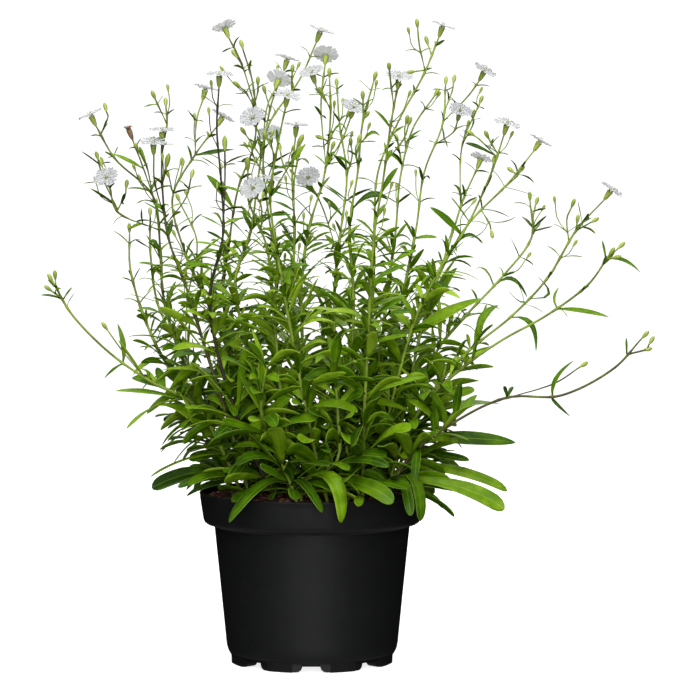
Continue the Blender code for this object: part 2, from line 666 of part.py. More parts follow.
def seen_leaf(crowd, owner, root, seen, reach):
    """A leaf read off the front view: where its tip is, and its middle if it is bowed."""
    tip_x, tip_z = seen[-1]
    span = math.dist(front_view(root), seen[-1])
    low = root.z < 115

    def make(swing, lift, scale):
        tip = spread_by_distance(tip_x, tip_z, root.y + reach + swing * span * 0.6)
        tip = root + (tip - root) * scale
        middle = (root + tip) / 2 + Vector((0, 0, span * (0.06 + lift * 0.3)))
        if len(seen) == 3:
            middle = spread_by_distance(*seen[1], (root.y * 0.45 + tip.y * 0.55))
            middle += Vector((0, 0, span * lift * 0.3))
        bend = 2 * middle - (root + tip) / 2
        flat = (tip - root).cross(Vector((0, -0.7, 0.7)))
        if flat.length < 0.35 * span:
            flat = (tip - root).cross(Vector((0.3, 1, 0)))
        width = min(9.5, span * 0.25) if low else min(8.5, max(1.7, span * 0.19))
        return {"curve": (root, bend, tip), "side": flat.normalized(), "width": width,
                "peak": 0.7 if low else 0.45}
    return place_leaf(crowd, owner, make, LEAF_TRIES)


def nearest_place(strands, x, z):
    """The place on the stalks drawn so far that is seen nearest to a place in the front view."""
    best = None
    for strand in strands:
        points = strand["points"]
        for a, b in zip(points[1:], points[2:]):
            for k in range(9):
                place = a.lerp(b, k / 8)
                off = math.dist(front_view(place), (x, z))
                if place.z > SOIL_TOP + 3 and (best is None or off < best[0]):
                    best = (off, place)
    return best[1]


def leaf_places(strand, start):
    """Places up a leafy stalk for its pairs of leaves, closer together low down."""
    places = []
    due = start
    for a, b in zip(strand["points"], strand["points"][1:]):
        while a.z < due <= b.z:
            place = a.lerp(b, (due - a.z) / (b.z - a.z))
            if growth_height(place) < LEAF_TOP:
                places.append(place)
            due += LEAF_SPACING * (0.7 + 0.5 * (due - LEAF_FOOT) / (LEAF_TOP - LEAF_FOOT))
    return places


def grow_plant():
    """Grow every stem: trunks first, then side stalks, then leaves from the foot up."""
    crowd = Crowd()
    plant = {entry[0]: {"strands": [], "leaves": []} for entry in SPRAYS}
    for name, foot, depth, end, stem, _ in SPRAYS:
        low = Vector((*foot, SOIL_TOP - HOLE_DEPTH + HOLE_GAP))
        start = Vector((*foot, SOIL_TOP + 2))
        places = [start] + [spread_by_distance(x, z, foot[1] + (depth - foot[1])
                                               * ((k + 1) / len(stem)) ** 0.8)
                            for k, (x, z) in enumerate(stem)]
        strand, _ = place_strand(crowd, name, places, end, 0.1, 0.4, low)
        add_strand(crowd, name, strand, plant[name]["strands"])
    crowd.add("pot", pot_hull())
    for name, _, _, _, _, sides in SPRAYS:
        strands = plant[name]["strands"]
        for end, seen, *extra in sides:
            if end != "leaf":
                root = nearest_place(strands, *seen[0])
                rng = random.Random(f"{name} {seen[-1]}")
                span = math.dist(front_view(root), seen[-1])
                reach = extra[0] if extra else span * rng.choice((-0.45, -0.3, 0.3, 0.45))
                nod = extra[1] if len(extra) > 1 else 0.1
                count = len(seen) - 1
                places = [root] + [spread_by_distance(x, z, root.y + reach * (k + 1) / count)
                                   for k, (x, z) in enumerate(seen[1:])]
                strand, clear = place_strand(crowd, name, places, end, nod, 0.8)
                if clear:
                    add_strand(crowd, name, strand, strands)
    for name, _, _, _, _, sides in SPRAYS:
        for end, seen, *extra in sides:
            if end == "leaf":
                root = nearest_place(plant[name]["strands"], *seen[0])
                leaf = seen_leaf(crowd, name, root, seen, extra[0] if extra else 0)
                if leaf:
                    plant[name]["leaves"].append(leaf)
    rng = random.Random(LEAF_SEED)
    places = []
    for name, growth in plant.items():
        for strand in growth["strands"]:
            if strand["trunk"] or strand["end"] == "leafy":
                turn = rng.uniform(0, math.pi)
                start = max(LEAF_FOOT, strand["points"][0].z + 2) + rng.uniform(0, 12)
                for k, place in enumerate(leaf_places(strand, start)):
                    places.append((round(place.z, 1), name, place, turn + k * math.pi / 2))
    for _, name, place, turn in sorted(places, key=lambda entry: entry[:2]):
        plant[name]["leaves"] += grow_pair(crowd, name, place, turn, rng)
    return plant


def mesh_object(name, shape, collection, material=None):
    """A closed mesh object from corners in millimetres and faces that point out."""
    verts, faces = shape
    mesh = bpy.data.meshes.new(name)
    mesh.from_pydata([v * MM for v in verts], [], faces)
    mesh.validate()
    obj = bpy.data.objects.new(name, mesh)
    if material:
        mesh.materials.append(material)
    collection.objects.link(obj)
    return obj


def paint(name, colour, roughness):
    material = bpy.data.materials.new(name)
    material.use_nodes = True
    shader = material.node_tree.nodes["Principled BSDF"]
    shader.inputs["Base Color"].default_value = (*colour, 1)
    shader.inputs["Roughness"].default_value = roughness
    return material


def turned(name, profile, steps, collection, material):
    """Turn a closed outline of radius and height about the upright axis."""
    mesh = bpy.data.meshes.new(name)
    shape = bmesh.new()
    corners = [shape.verts.new((r * MM, 0, z * MM)) for r, z in profile]
    for a, b in zip(corners, corners[1:]):
        shape.edges.new((a, b))
    shape.to_mesh(mesh)
    shape.free()
    mesh.materials.append(material)
    obj = bpy.data.objects.new(name, mesh)
    collection.objects.link(obj)
    screw = obj.modifiers.new("Turn", 'SCREW')
    screw.axis = 'Z'
    screw.steps = steps
    screw.render_steps = steps
    screw.use_merge_vertices = True
    screw.merge_threshold = 0.00005
    return obj


def apply_modifiers(obj):
    depsgraph = bpy.context.evaluated_depsgraph_get()
    mesh = bpy.data.meshes.new_from_object(obj.evaluated_get(depsgraph))
    obj.modifiers.clear()
    old = obj.data
    obj.data = mesh
    bpy.data.meshes.remove(old)


def combine(obj, operation, pieces, solver):
    """One Boolean of an object with a whole collection, applied, with the pieces removed."""
    group = bpy.data.collections.new(obj.name + "_pieces")
    bpy.context.scene.collection.children.link(group)
    for piece in pieces:
        piece(group)
    boolean = obj.modifiers.new("Combine", 'BOOLEAN')
    boolean.operation = operation
    boolean.operand_type = 'COLLECTION'
    boolean.collection = group
    boolean.solver = solver
    apply_modifiers(obj)
    for piece in list(group.objects):
        bpy.data.objects.remove(piece)
    bpy.data.collections.remove(group)


def pot_outline():
    """Radius and height from the floor up the inside, over the rim and down to the underside."""
    collar = RIM_HEIGHT - COLLAR_HEIGHT
    return (
        (0, FLOOR_TOP), (FOOT_RADIUS - 3.0, FLOOR_TOP),
        (BODY_FOOT_RADIUS - WALL - 0.5, FOOT_HEIGHT + 4.5),
        (BODY_TOP_RADIUS - WALL, collar - 0.6), (COLLAR_FOOT_RADIUS - WALL, collar + 3.2),
        (RIM_RADIUS - WALL - 0.2, RIM_HEIGHT - 0.4), (RIM_RADIUS - 0.4, RIM_HEIGHT),
        (RIM_RADIUS, RIM_HEIGHT - 1), (COLLAR_FOOT_RADIUS, collar + 3),
        (COLLAR_FOOT_RADIUS - 2.6, collar + 0.3), (BODY_TOP_RADIUS, collar - 0.6),
        (BODY_FOOT_RADIUS + 0.5, FOOT_HEIGHT + 6.5), (BODY_FOOT_RADIUS - 0.2, FOOT_HEIGHT + 2),
        (FOOT_RADIUS + 0.7, FOOT_HEIGHT),
        (FOOT_RADIUS, 0.6), (FOOT_RADIUS - 0.6, 0), (FOOT_RADIUS - FOOT_RING, 0),
        (FOOT_RADIUS - FOOT_RING - 0.4, FLOOR_UNDERSIDE), (0, FLOOR_UNDERSIDE))


def make_pot(collection, material):
    """The turned pot with its drain notches cut through the foot ring and the floor's edge."""
    pot = turned("pot", pot_outline(), POT_STEPS, collection, material)
    apply_modifiers(pot)

    def notch(k):
        def cut(group):
            turn = -math.pi / 2 + 2 * math.pi * k / NOTCHES
            bpy.ops.mesh.primitive_cube_add(size=1)
            cutter = bpy.context.object
            cutter.scale = (NOTCH_REACH * 2 * MM, NOTCH_WIDTH * MM, NOTCH_HEIGHT * 2 * MM)
            cutter.rotation_euler.z = turn
            cutter.location = (FOOT_RADIUS * math.cos(turn) * MM,
                               FOOT_RADIUS * math.sin(turn) * MM, 0)
            for owner in cutter.users_collection:
                owner.objects.unlink(cutter)
            group.objects.link(cutter)
        return cut
    combine(pot, 'DIFFERENCE', [notch(k) for k in range(NOTCHES)], 'MANIFOLD')
    return pot


def soil_height(x, y):
    """The compost's gently lumpy surface."""
    lumps = math.sin(0.16 * x + 1.0) * math.cos(0.13 * y) + 0.6 * math.sin(0.3 * x - 0.24 * y)
    return SOIL_TOP + SOIL_RELIEF * 0.6 * lumps


def make_soil(collection, material):
    """Compost that fills the pot with a small gap, with one plain hole for each stem."""
    collar = RIM_HEIGHT - COLLAR_HEIGHT
    shrink = math.cos(math.pi / POT_STEPS)
    inner = RIM_RADIUS - WALL - 1.4
    profile = [(FOOT_RADIUS - 3.4, FLOOR_TOP), (BODY_FOOT_RADIUS - WALL - 0.7, FOOT_HEIGHT + 5.1),
               (BODY_TOP_RADIUS - WALL - 0.2, collar - 0.8),
               (COLLAR_FOOT_RADIUS - WALL - 0.4, collar + 3.8)]
    rings = []
    for r, z in profile:
        turns = [2 * math.pi * k / SOIL_STEPS for k in range(SOIL_STEPS)]
        reach = max(1, r * shrink - SOIL_GAP)
        rings.append([Vector((reach * math.cos(a), reach * math.sin(a), z + SOIL_GAP))
                      for a in turns])
    for r in (inner - SOIL_GAP, *SOIL_RINGS):
        ring = []
        for a in turns:
            x, y = r * math.cos(a), r * math.sin(a)
            ring.append(Vector((x, y, soil_height(x, y))))
        rings.append(ring)
    soil = mesh_object("soil", skin(rings, Vector((0, 0, soil_height(0, 0)))), collection, material)

    def hole(foot):
        def cut(group):
            radius = STEM_BASE_RADIUS + HOLE_GAP
            turns = [2 * math.pi * k / 5 for k in range(5)]
            corners = [Vector((foot[0] + radius / math.cos(math.pi / 5) * math.cos(a),
                               foot[1] + radius / math.cos(math.pi / 5) * math.sin(a), 0))
                       for a in turns]
            low = Vector((0, 0, SOIL_TOP - HOLE_DEPTH))
            high = Vector((0, 0, SOIL_TOP + 5))
            mesh_object("hole", skin([[c + low for c in corners], [c + high for c in corners]]),
                        group)
        return cut
    combine(soil, 'DIFFERENCE', [hole(entry[1]) for entry in SPRAYS], 'MANIFOLD')
    return soil


def split_in_triangles(mesh):
    shape = bmesh.new()
    shape.from_mesh(mesh)
    bmesh.ops.triangulate(shape, faces=shape.faces)
    shape.to_mesh(mesh)
    shape.free()


def is_sound(mesh):
    """Whether a mesh is one closed piece that nowhere passes through itself."""
    shape = bmesh.new()
    shape.from_mesh(mesh)
    shape.verts.ensure_lookup_table()
    shape.faces.ensure_lookup_table()
    closed = all(part.is_manifold for part in (*shape.edges, *shape.verts))
    reached = {shape.verts[0]}
    waiting = list(reached)
    while waiting:
        vert = waiting.pop()
        for edge in vert.link_edges:
            other = edge.other_vert(vert)
            if other not in reached:
                reached.add(other)
                waiting.append(other)
    sound = closed and len(reached) == len(shape.verts)
    if sound:
        tree = BVHTree.FromBMesh(shape)
        for a, b in tree.overlap(tree):
            if a != b and not set(shape.faces[a].verts) & set(shape.faces[b].verts):
                sound = False
    shape.free()
    return sound


def join_growth(name, growth, collection, material):
    """A stem's stalks, cups, buds and leaves joined in one solid."""
    shapes = [tube(s["points"], s["radii"], s["corners"]) for s in growth["strands"]]
    shapes += [leaf_blade(leaf, leaf_stations(leaf)) for leaf in growth["leaves"]]
    stem = mesh_object(name, shapes[0], collection, material)
    combine(stem, 'UNION', [lambda group, shape=shape: mesh_object("growth", shape, group)
                            for shape in shapes[1:]], 'MANIFOLD')
    split_in_triangles(stem.data)
    return stem


def make_stem(name, growth, collection, material):
    """One leafy stem, its roots nudged until the join is sound, then thinned of crowded corners."""
    rng = random.Random(name)
    stem = join_growth(name, growth, collection, material)
    for _ in range(NUDGES):
        if is_sound(stem.data):
            break
        bpy.data.objects.remove(stem)
        for leaf in growth["leaves"]:
            root, bend, tip = leaf["curve"]
            nudge = Vector([rng.uniform(-NUDGE, NUDGE) for _ in range(3)])
            leaf["curve"] = (root + nudge, bend, tip)
        stem = join_growth(name, growth, collection, material)
    share = THINNING
    while share < 1:
        thinning = stem.modifiers.new("Thin", 'DECIMATE')
        thinning.ratio = share
        depsgraph = bpy.context.evaluated_depsgraph_get()
        thinned = bpy.data.meshes.new_from_object(stem.evaluated_get(depsgraph))
        stem.modifiers.clear()
        split_in_triangles(thinned)
        if is_sound(thinned):
            stem.data = thinned
            break
        share += THINNING_STEP
    return stem


def build():
    for obj in list(bpy.data.objects):
        bpy.data.objects.remove(obj)
    plant_parts = bpy.data.collections.new("rock_campion_in_pot")
    bpy.context.scene.collection.children.link(plant_parts)
    black = paint("black_plastic", BLACK, 0.45)
    brown = paint("compost", BROWN, 0.95)
    green = paint("leaf_green", GREEN, 0.5)
    white = paint("petal_white", WHITE, 0.6)
    make_pot(plant_parts, black)
    make_soil(plant_parts, brown)
    count = 0
    for name, growth in grow_plant().items():
        make_stem(name, growth, plant_parts, green)
        for strand in growth["strands"]:
            if strand["bloom"]:
                count += 1
                mesh_object(f"corolla_{count:02d}", corolla_shape(strand["bloom"]), plant_parts,
                            white)


build()
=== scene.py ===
"""The look of a small white-flowered rock campion in its black nursery pot.

The plant grows here by the same rules, numbers and draws as its solids, in millimetres, so every
leaf, stalk, bud and flower stays where its solid is. Each is then made finer: blades with a
channel, waves and a midrib, round stalks with swollen nodes, ribbed cups, toothed petals with
stamens, crumbs of compost and a turned pot.
"""
import json
import math
import random
from itertools import product

import bmesh
import bpy
from mathutils import Euler, Matrix, Vector, noise
from mathutils.bvhtree import BVHTree

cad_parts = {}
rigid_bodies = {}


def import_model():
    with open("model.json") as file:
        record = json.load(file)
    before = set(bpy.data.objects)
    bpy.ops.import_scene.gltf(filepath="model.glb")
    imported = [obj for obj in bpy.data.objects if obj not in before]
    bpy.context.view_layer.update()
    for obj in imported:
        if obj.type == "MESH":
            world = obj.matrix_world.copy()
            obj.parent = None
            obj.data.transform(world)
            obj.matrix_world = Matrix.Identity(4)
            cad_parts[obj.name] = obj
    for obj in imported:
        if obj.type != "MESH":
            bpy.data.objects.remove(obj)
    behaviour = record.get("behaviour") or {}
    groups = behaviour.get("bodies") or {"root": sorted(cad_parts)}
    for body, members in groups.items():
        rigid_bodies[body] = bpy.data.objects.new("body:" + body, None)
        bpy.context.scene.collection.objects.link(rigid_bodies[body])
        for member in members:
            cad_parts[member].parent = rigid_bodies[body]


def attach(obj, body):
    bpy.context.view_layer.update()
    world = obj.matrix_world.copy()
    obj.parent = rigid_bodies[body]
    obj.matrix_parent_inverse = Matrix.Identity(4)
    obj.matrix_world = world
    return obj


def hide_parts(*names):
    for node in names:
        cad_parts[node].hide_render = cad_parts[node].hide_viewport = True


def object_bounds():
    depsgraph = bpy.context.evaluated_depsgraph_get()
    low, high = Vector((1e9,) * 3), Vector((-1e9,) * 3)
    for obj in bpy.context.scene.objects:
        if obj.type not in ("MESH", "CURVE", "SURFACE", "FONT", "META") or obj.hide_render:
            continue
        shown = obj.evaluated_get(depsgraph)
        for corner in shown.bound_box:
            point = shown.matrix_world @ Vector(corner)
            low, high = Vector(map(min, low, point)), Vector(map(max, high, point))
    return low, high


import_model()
CAD_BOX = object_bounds()

MM = 0.001

# Pot, in millimetres
RIM_RADIUS = 65.0
RIM_HEIGHT = 98.5
COLLAR_HEIGHT = 18.5
COLLAR_FOOT_RADIUS = 62.9
BODY_TOP_RADIUS = 56.4
BODY_FOOT_RADIUS = 49.2
FOOT_RADIUS = 47.5
FOOT_HEIGHT = 6.3
WALL = 1.4
FLOOR_UNDERSIDE = 2.5
FLOOR_TOP = 4.5
FOOT_RING = 3.0
NOTCHES = 8
NOTCH_WIDTH = 21.5
NOTCH_HEIGHT = 5.2
NOTCH_REACH = 8.0

# Compost
SOIL_GAP = 0.3
SOIL_TOP = 94.6
SOIL_RELIEF = 0.9
HOLE_DEPTH = 9.0
HOLE_GAP = 0.3

# The front view that the stems' places were read off
VIEW_X = 20.7
VIEW_Z = 268.0
VIEW_DISTANCE = 1700.0

# Stems, cups and buds
STEM_BASE_RADIUS = 1.15
STEM_TOP_RADIUS = 0.75
STEM_TAPER_TO = 300.0
STALK_RADIUS = 0.62
STALK_ROOT_RADIUS = 0.36
STATION_STEP = 31.0
CUP_LENGTH = 7.2
CUP_RADIUS = 1.75
CUP_TO_PETALS = 0.35
BUD_LENGTH = 5.6
BUD_RADIUS = 1.35
SHUT_LENGTH = 9.0
SHUT_RADIUS = 1.7

# Corolla
PETALS = 5
PETAL_REACH = 7.5
PETAL_VALLEY = 2.3
PETAL_THICKNESS = 0.7

# Leaves
LEAF_KEEL = 0.9
ROOT_HALF_WIDTH = 0.42
LEAF_FOOT = 99.0
LEAF_TOP = 244.0
LEAF_SPACING = 22.0
LEAF_CLEARANCE = 0.35
STEM_CLEARANCE = 0.45
LEAF_SEED = 11
CELL = 20.0

# Leaf length, width, climb, droop and widest place along it, by height above the ground
LEAF_HABIT = (
    (95, 40, 9.6, 0.3, 0.28, 0.68),
    (125, 40, 9.2, 0.5, 0.28, 0.64),
    (160, 36, 7.8, 0.65, 0.28, 0.56),
    (200, 27, 5.2, 0.7, 0.26, 0.48),
    (246, 18, 3.0, 0.65, 0.3, 0.44))

# What is tried in turn to bend a leaf clear: swing round the stem, lift, and share of its size
LEAF_TRIES = (
    (0, 0, 1), (0.3, 0.1, 1), (-0.3, 0.1, 1), (0.6, 0, 1), (-0.6, 0, 1), (0, 0.4, 1),
    (0.4, 0.5, 0.9), (-0.4, 0.5, 0.9), (0.9, 0.2, 0.85), (-0.9, 0.2, 0.85), (0, -0.3, 0.9),
    (0, 0.8, 0.75), (1.2, 0.5, 0.7), (-1.2, 0.5, 0.7), (0, 0.3, 0.6))

# What is tried in turn to bend a stalk clear in depth
DEPTH_SHIFTS = (0, 4, -4, 8, -8, 12, -12, 17, -17, 23, -23, 30, -30)

# The stems, as they are read off the photograph
SPRAYS = []


def spray(name, foot, depth, end, stem, *sides):
    """Note one leafy stem: its foot in the compost, its depth at the top, how it ends, the points
    that it passes, and its side growth, each as its end and its points from the fork on."""
    SPRAYS.append((name, foot, depth, end, stem, sides))


spray("stem_left_reach", (-40, -14), -34, "bud",
      [(-60, 138), (-80, 158), (-97, 163), (-109, 171), (-125, 187), (-145, 208), (-152, 224)],
      ("bud", [(-145, 208), (-147, 216), (-148, 226)]),
      ("bud", [(-145, 208), (-150, 212), (-154, 217)]),
      ("bud", [(-97, 163), (-107, 177), (-116, 187), (-121, 196)]),
      ("leaf", [(-50, 122), (-72, 144), (-90, 148)], -6),
      ("leaf", [(-109, 171), (-108, 183), (-112, 195)]),
      ("leaf", [(-109, 171), (-120, 164)]),
      ("leaf", [(-145, 208), (-156, 212)]),
      ("leaf", [(-145, 208), (-138, 216)]))
spray("stem_left_wand", (-33, 12), 24, "bud",
      [(-62, 140), (-78, 163), (-90, 182), (-97, 200), (-104, 222), (-103, 240), (-105, 253)],
      ("leaf", [(-97, 200), (-101, 203)]),
      ("leaf", [(-97, 200), (-86, 196)]),
      ("leaf", [(-104, 222), (-106, 227)]))
spray("stem_left_tall", (-46, 3), -8, "bloom",
      [(-58, 138), (-70, 165), (-80, 188), (-85, 204), (-86, 232), (-90, 250), (-90, 266),
       (-102, 279), (-114, 291), (-121, 304), (-127, 315)],
      ("bloom", [(-90, 250), (-103, 255), (-113, 260), (-117, 266), (-118, 279)], -14, 0.7),
      ("bud", [(-121, 304), (-117, 313), (-119, 322)]),
      ("bud", [(-113, 260), (-108, 266), (-106, 278)]),
      ("withered", [(-90, 266), (-97, 285), (-106, 309)]),
      ("bud", [(-90, 266), (-96, 290), (-102, 299)]),
      ("bud", [(-113, 260), (-119, 276), (-124, 294)], 18),
      ("leaf", [(-114, 291), (-119, 294)]),
      ("leaf", [(-86, 232), (-90, 242), (-95, 242)]),
      ("leaf", [(-50, 108), (-70, 109), (-93, 101)], -8),
      ("leaf", [(-85, 204), (-78, 196)]))
spray("stem_left_second", (-35, -28), -46, "bloom",
      [(-48, 138), (-60, 176), (-72, 215), (-80, 238), (-85, 253), (-86, 275), (-84, 292),
       (-86, 306)],
      ("bud", [(-84, 292), (-83, 311), (-84, 325)]),
      ("bud", [(-83, 308), (-88, 320), (-92, 329)]),
      ("bud", [(-85, 253), (-76, 262), (-70, 272), (-68, 284)]),
      ("bloom", [(-85, 253), (-91, 280), (-91, 299)], -12, 0.05),
      ("shut", [(-86, 275), (-84, 283), (-82, 293)]))
spray("stem_left_slant", (-22, -6), 36, "bloom",
      [(-40, 140), (-52, 190), (-66, 219), (-75, 242), (-79, 262), (-80, 277), (-67, 292),
       (-54, 305), (-51, 314)],
      ("bloom", [(-67, 292), (-68, 304), (-66, 312), (-61, 330)], 8, 0.05),
      ("bud", [(-80, 270), (-84, 284)]),
      ("bud", [(-78, 279), (-74, 290)]),
      ("leaf", [(-67, 292), (-56, 294), (-45, 296)]))
spray("stem_left_thin", (-30, 31), 72, "bud",
      [(-54, 138), (-74, 178), (-87, 201), (-92, 225), (-93, 245), (-93, 262)],
      ("bud", [(-74, 178), (-71, 215), (-66, 241), (-72, 256), (-78, 270)], 10),
      ("leaf", [(-87, 201), (-79, 195)]))
spray("stem_dark", (-20, -40), -62, "bloom",
      [(-42, 138), (-58, 195), (-57, 222), (-50, 252), (-52, 275), (-54, 300), (-55, 318),
       (-53, 338)],
      ("shut", [(-50, 252), (-50, 275), (-50, 303)]),
      ("leaf", [(-50, 252), (-54, 258), (-58, 259)]),
      ("leaf", [(-50, 252), (-39, 256)]))
spray("stem_left_high", (-20, 18), 30, "bud",
      [(-36, 140), (-50, 198), (-50, 225), (-46, 252), (-43, 270), (-38, 288), (-32, 303),
       (-32, 319), (-34, 333), (-38, 350), (-41, 358)],
      ("bloom", [(-32, 319), (-37, 333), (-40, 343), (-43, 356), (-50, 365)], 12, -0.1),
      ("bud", [(-40, 343), (-46, 352)]),
      ("bud", [(-32, 319), (-31, 327), (-31, 337)]),
      ("bud", [(-32, 319), (-38, 328), (-45, 334)]),
      ("leaf", [(-44, 262), (-60, 281)]))
spray("stem_pale", (-12, 0), -10, "bloom",
      [(-28, 140), (-41, 200), (-44, 226), (-35, 249), (-31, 275), (-31, 297), (-20, 316),
       (-12, 327), (-4, 341), (5, 363)],
      ("bloom", [(-31, 290), (-30, 303), (-34, 313)], -16, 0.4),
      ("bloom", [(-31, 297), (-27, 314), (-23, 326), (-19, 335)], 16, -0.4),
      ("bud", [(-12, 327), (-11, 344)]),
      ("bud", [(-31, 290), (-41, 308)]),
      ("leaf", [(-35, 249), (-40, 260)]),
      ("leaf", [(-35, 249), (-26, 258)]))
spray("stem_front_left", (-6, -20), -84, "shut",
      [(-16, 140), (-22, 200), (-24, 228), (-29, 250), (-36, 264), (-37, 280), (-37, 291)],
      ("bloom", [(-29, 250), (-29, 262), (-34, 273)], -12, 0.5),
      ("bloom", [(-29, 250), (-25, 264), (-23, 278)], 14, 0.6),
      ("leaf", [(-29, 250), (-20, 249)]))
spray("stem_middle_back", (-8, 36), 66, "bloom",
      [(-18, 140), (-22, 200), (-20, 228), (-25, 258), (-28, 280), (-27, 300), (-24, 318),
       (-19, 333), (-14, 347)],
      ("bloom", [(-28, 274), (-22, 290), (-24, 304)], -16, 0.3),
      ("bud", [(-28, 280), (-34, 292), (-36, 300)]),
      ("bud", [(-24, 318), (-28, 332)]))
spray("stem_front_middle", (9, -43), -96, "bloom",
      [(-2, 138), (-12, 190), (-20, 236), (-24, 268), (-22, 290), (-16, 308), (-14, 326)],
      ("shut", [(-24, 268), (-12, 288), (-5, 304)]),
      ("bud", [(-22, 290), (-28, 306)]),
      ("leaf", [(8, 103), (28, 103), (47, 93)], -27),
      ("leaf", [(-20, 236), (-24, 243)]))
spray("stem_middle", (0, 14), 16, "bloom",
      [(-6, 140), (-10, 200), (-11, 228), (-10, 250), (-11, 275), (-12, 291), (-9, 309)],
      ("shut", [(-10, 250), (-13, 264), (-9, 280), (-7, 298)]),
      ("bud", [(-11, 275), (-17, 288), (-19, 299)]),
      ("leaf", [(-11, 260), (-24, 266)]))
spray("stem_centre_fan", (8, -8), -40, "bud",
      [(-2, 140), (-6, 200), (-4, 240), (3, 264), (8, 285), (9, 300), (11, 318), (9, 330),
       (10, 342)],
      ("bloom", [(8, 285), (4, 306), (7, 332), (8, 349)], 22, -0.6),
      ("bloom", [(11, 318), (4, 328), (0, 339)], -10, 0.1),
      ("bud", [(11, 318), (4, 331)]),
      ("bud", [(9, 300), (2, 303)]),
      ("bud", [(8, 285), (13, 300)]),
      ("bloom", [(8, 285), (16, 298), (24, 319)], -14, 0.3),
      ("leaf", [(9, 300), (16, 310), (20, 306)]))
spray("stem_centre_back", (16, 24), 60, "bud",
      [(12, 140), (13, 200), (14, 235), (18, 256), (20, 280), (17, 304), (13, 320), (14, 336)],
      ("bud", [(20, 280), (23, 290), (22, 302)]),
      ("bloom", [(14, 235), (6, 262), (-2, 279)], -24, 0.5),
      ("bud", [(17, 304), (22, 318)]),
      ("leaf", [(18, 256), (6, 268)]))
spray("stem_centre_right", (21, -26), -66, "bud",
      [(20, 140), (24, 200), (22, 240), (22, 262), (27, 285), (30, 301), (29, 312), (31, 323),
       (37, 340)],
      ("bud", [(29, 312), (27, 320), (29, 329)]),
      ("bud", [(29, 312), (33, 317)]),
      ("bud", [(27, 285), (25, 295), (28, 304)]),
      ("leaf", [(30, 301), (34, 305), (39, 303)]),
      ("leaf", [(22, 262), (34, 270), (44, 267)]))
spray("stem_right_bowed", (29, -38), -92, "bloom",
      [(30, 140), (33, 200), (35, 240), (40, 270), (42, 290), (45, 308), (47, 320), (50, 337)],
      ("bud", [(42, 290), (52, 300), (57, 314)]),
      ("bud", [(47, 320), (45, 335), (44, 345)]),
      ("leaf", [(45, 308), (36, 318)]),
      ("leaf", [(40, 270), (49, 285)]))
spray("stem_right_tall", (21, 3), 4, "bloom",
      [(26, 140), (34, 200), (36, 236), (36, 262), (39, 288), (46, 305), (53, 316), (60, 327),
       (65, 341), (67, 350), (75, 366)],
      ("bud", [(65, 341), (62, 352), (60, 370)]),
      ("bud", [(67, 350), (65, 360)]),
      ("bud", [(65, 341), (59, 345), (54, 339)]),
      ("leaf", [(65, 341), (69, 342)]),
      ("leaf", [(46, 305), (53, 309)]))
spray("stem_right_curved", (33, 14), 34, "bud",
      [(34, 140), (42, 200), (46, 235), (50, 262), (51, 285), (54, 297), (58, 307), (66, 319),
       (73, 330)],
      ("bud", [(51, 285), (48, 304)]),
      ("bud", [(54, 297), (53, 304), (55, 315)]),
      ("leaf", [(51, 285), (45, 293), (38, 292)]),
      ("leaf", [(46, 235), (36, 246)]))
spray("stem_right_upper", (31, 33), 76, "bud",
      [(38, 140), (50, 200), (57, 235), (62, 262), (65, 285), (70, 299), (76, 312), (77, 322),
       (77, 337)],
      ("bud", [(77, 318), (80, 327), (82, 338)]),
      ("bloom", [(76, 312), (86, 321), (99, 340)], -18, 0.05),
      ("bloom", [(70, 299), (80, 303), (85, 317)], -20, 0.1),
      ("leaf", [(62, 245), (53, 255)]),
      ("leaf", [(62, 245), (72, 245)]))
spray("stem_right_swept", (34, -11), -38, "bloom",
      [(44, 140), (56, 188), (70, 220), (82, 242), (92, 255), (100, 270), (103, 284),
       (102, 293), (105, 300), (112, 310)],
      ("bud", [(102, 293), (99, 306)]),
      ("bud", [(103, 284), (105, 292)]),
      ("bud", [(102, 293), (96, 301), (89, 306)]),
      ("leaf", [(102, 293), (95, 297), (88, 299)]),
      ("leaf", [(82, 242), (90, 246), (98, 242)]),
      ("leaf", [(58, 192), (78, 202), (97, 210)]),
      ("leaf", [(82, 250), (68, 262)]))
spray("stem_right_wing", (44, 5), 14, "bloom",
      [(52, 140), (64, 195), (76, 230), (88, 250), (100, 262), (110, 272), (115, 281),
       (121, 291), (131, 300)],
      ("bud", [(110, 272), (118, 280), (122, 286)]),
      ("bud", [(118, 280), (112, 285)]),
      ("bud", [(100, 262), (103, 250), (104, 244)]),
      ("leaf", [(52, 140), (82, 148), (108, 150)]),
      ("leaf", [(64, 195), (83, 228)]))
spray("stem_right_arch", (45, 20), 44, "bud",
      [(54, 138), (70, 176), (85, 196), (95, 206), (106, 218), (116, 230), (125, 242),
       (129, 256), (125, 271)],
      ("bud", [(129, 256), (130, 268)]),
      ("bud", [(125, 242), (131, 254)]),
      ("leaf", [(106, 218), (100, 226), (94, 227)]),
      ("leaf", [(106, 218), (115, 221), (124, 210)]))
spray("stem_right_back", (16, 42), 96, "bloom",
      [(34, 138), (56, 186), (72, 220), (80, 245), (85, 262), (92, 276), (97, 290)],
      ("bud", [(85, 262), (85, 290), (91, 312), (98, 326)], 10),
      ("bud", [(86, 300), (92, 308), (93, 318)]),
      ("leaf", [(85, 262), (85, 271), (81, 275)]),
      ("leaf", [(85, 262), (95, 268)]))
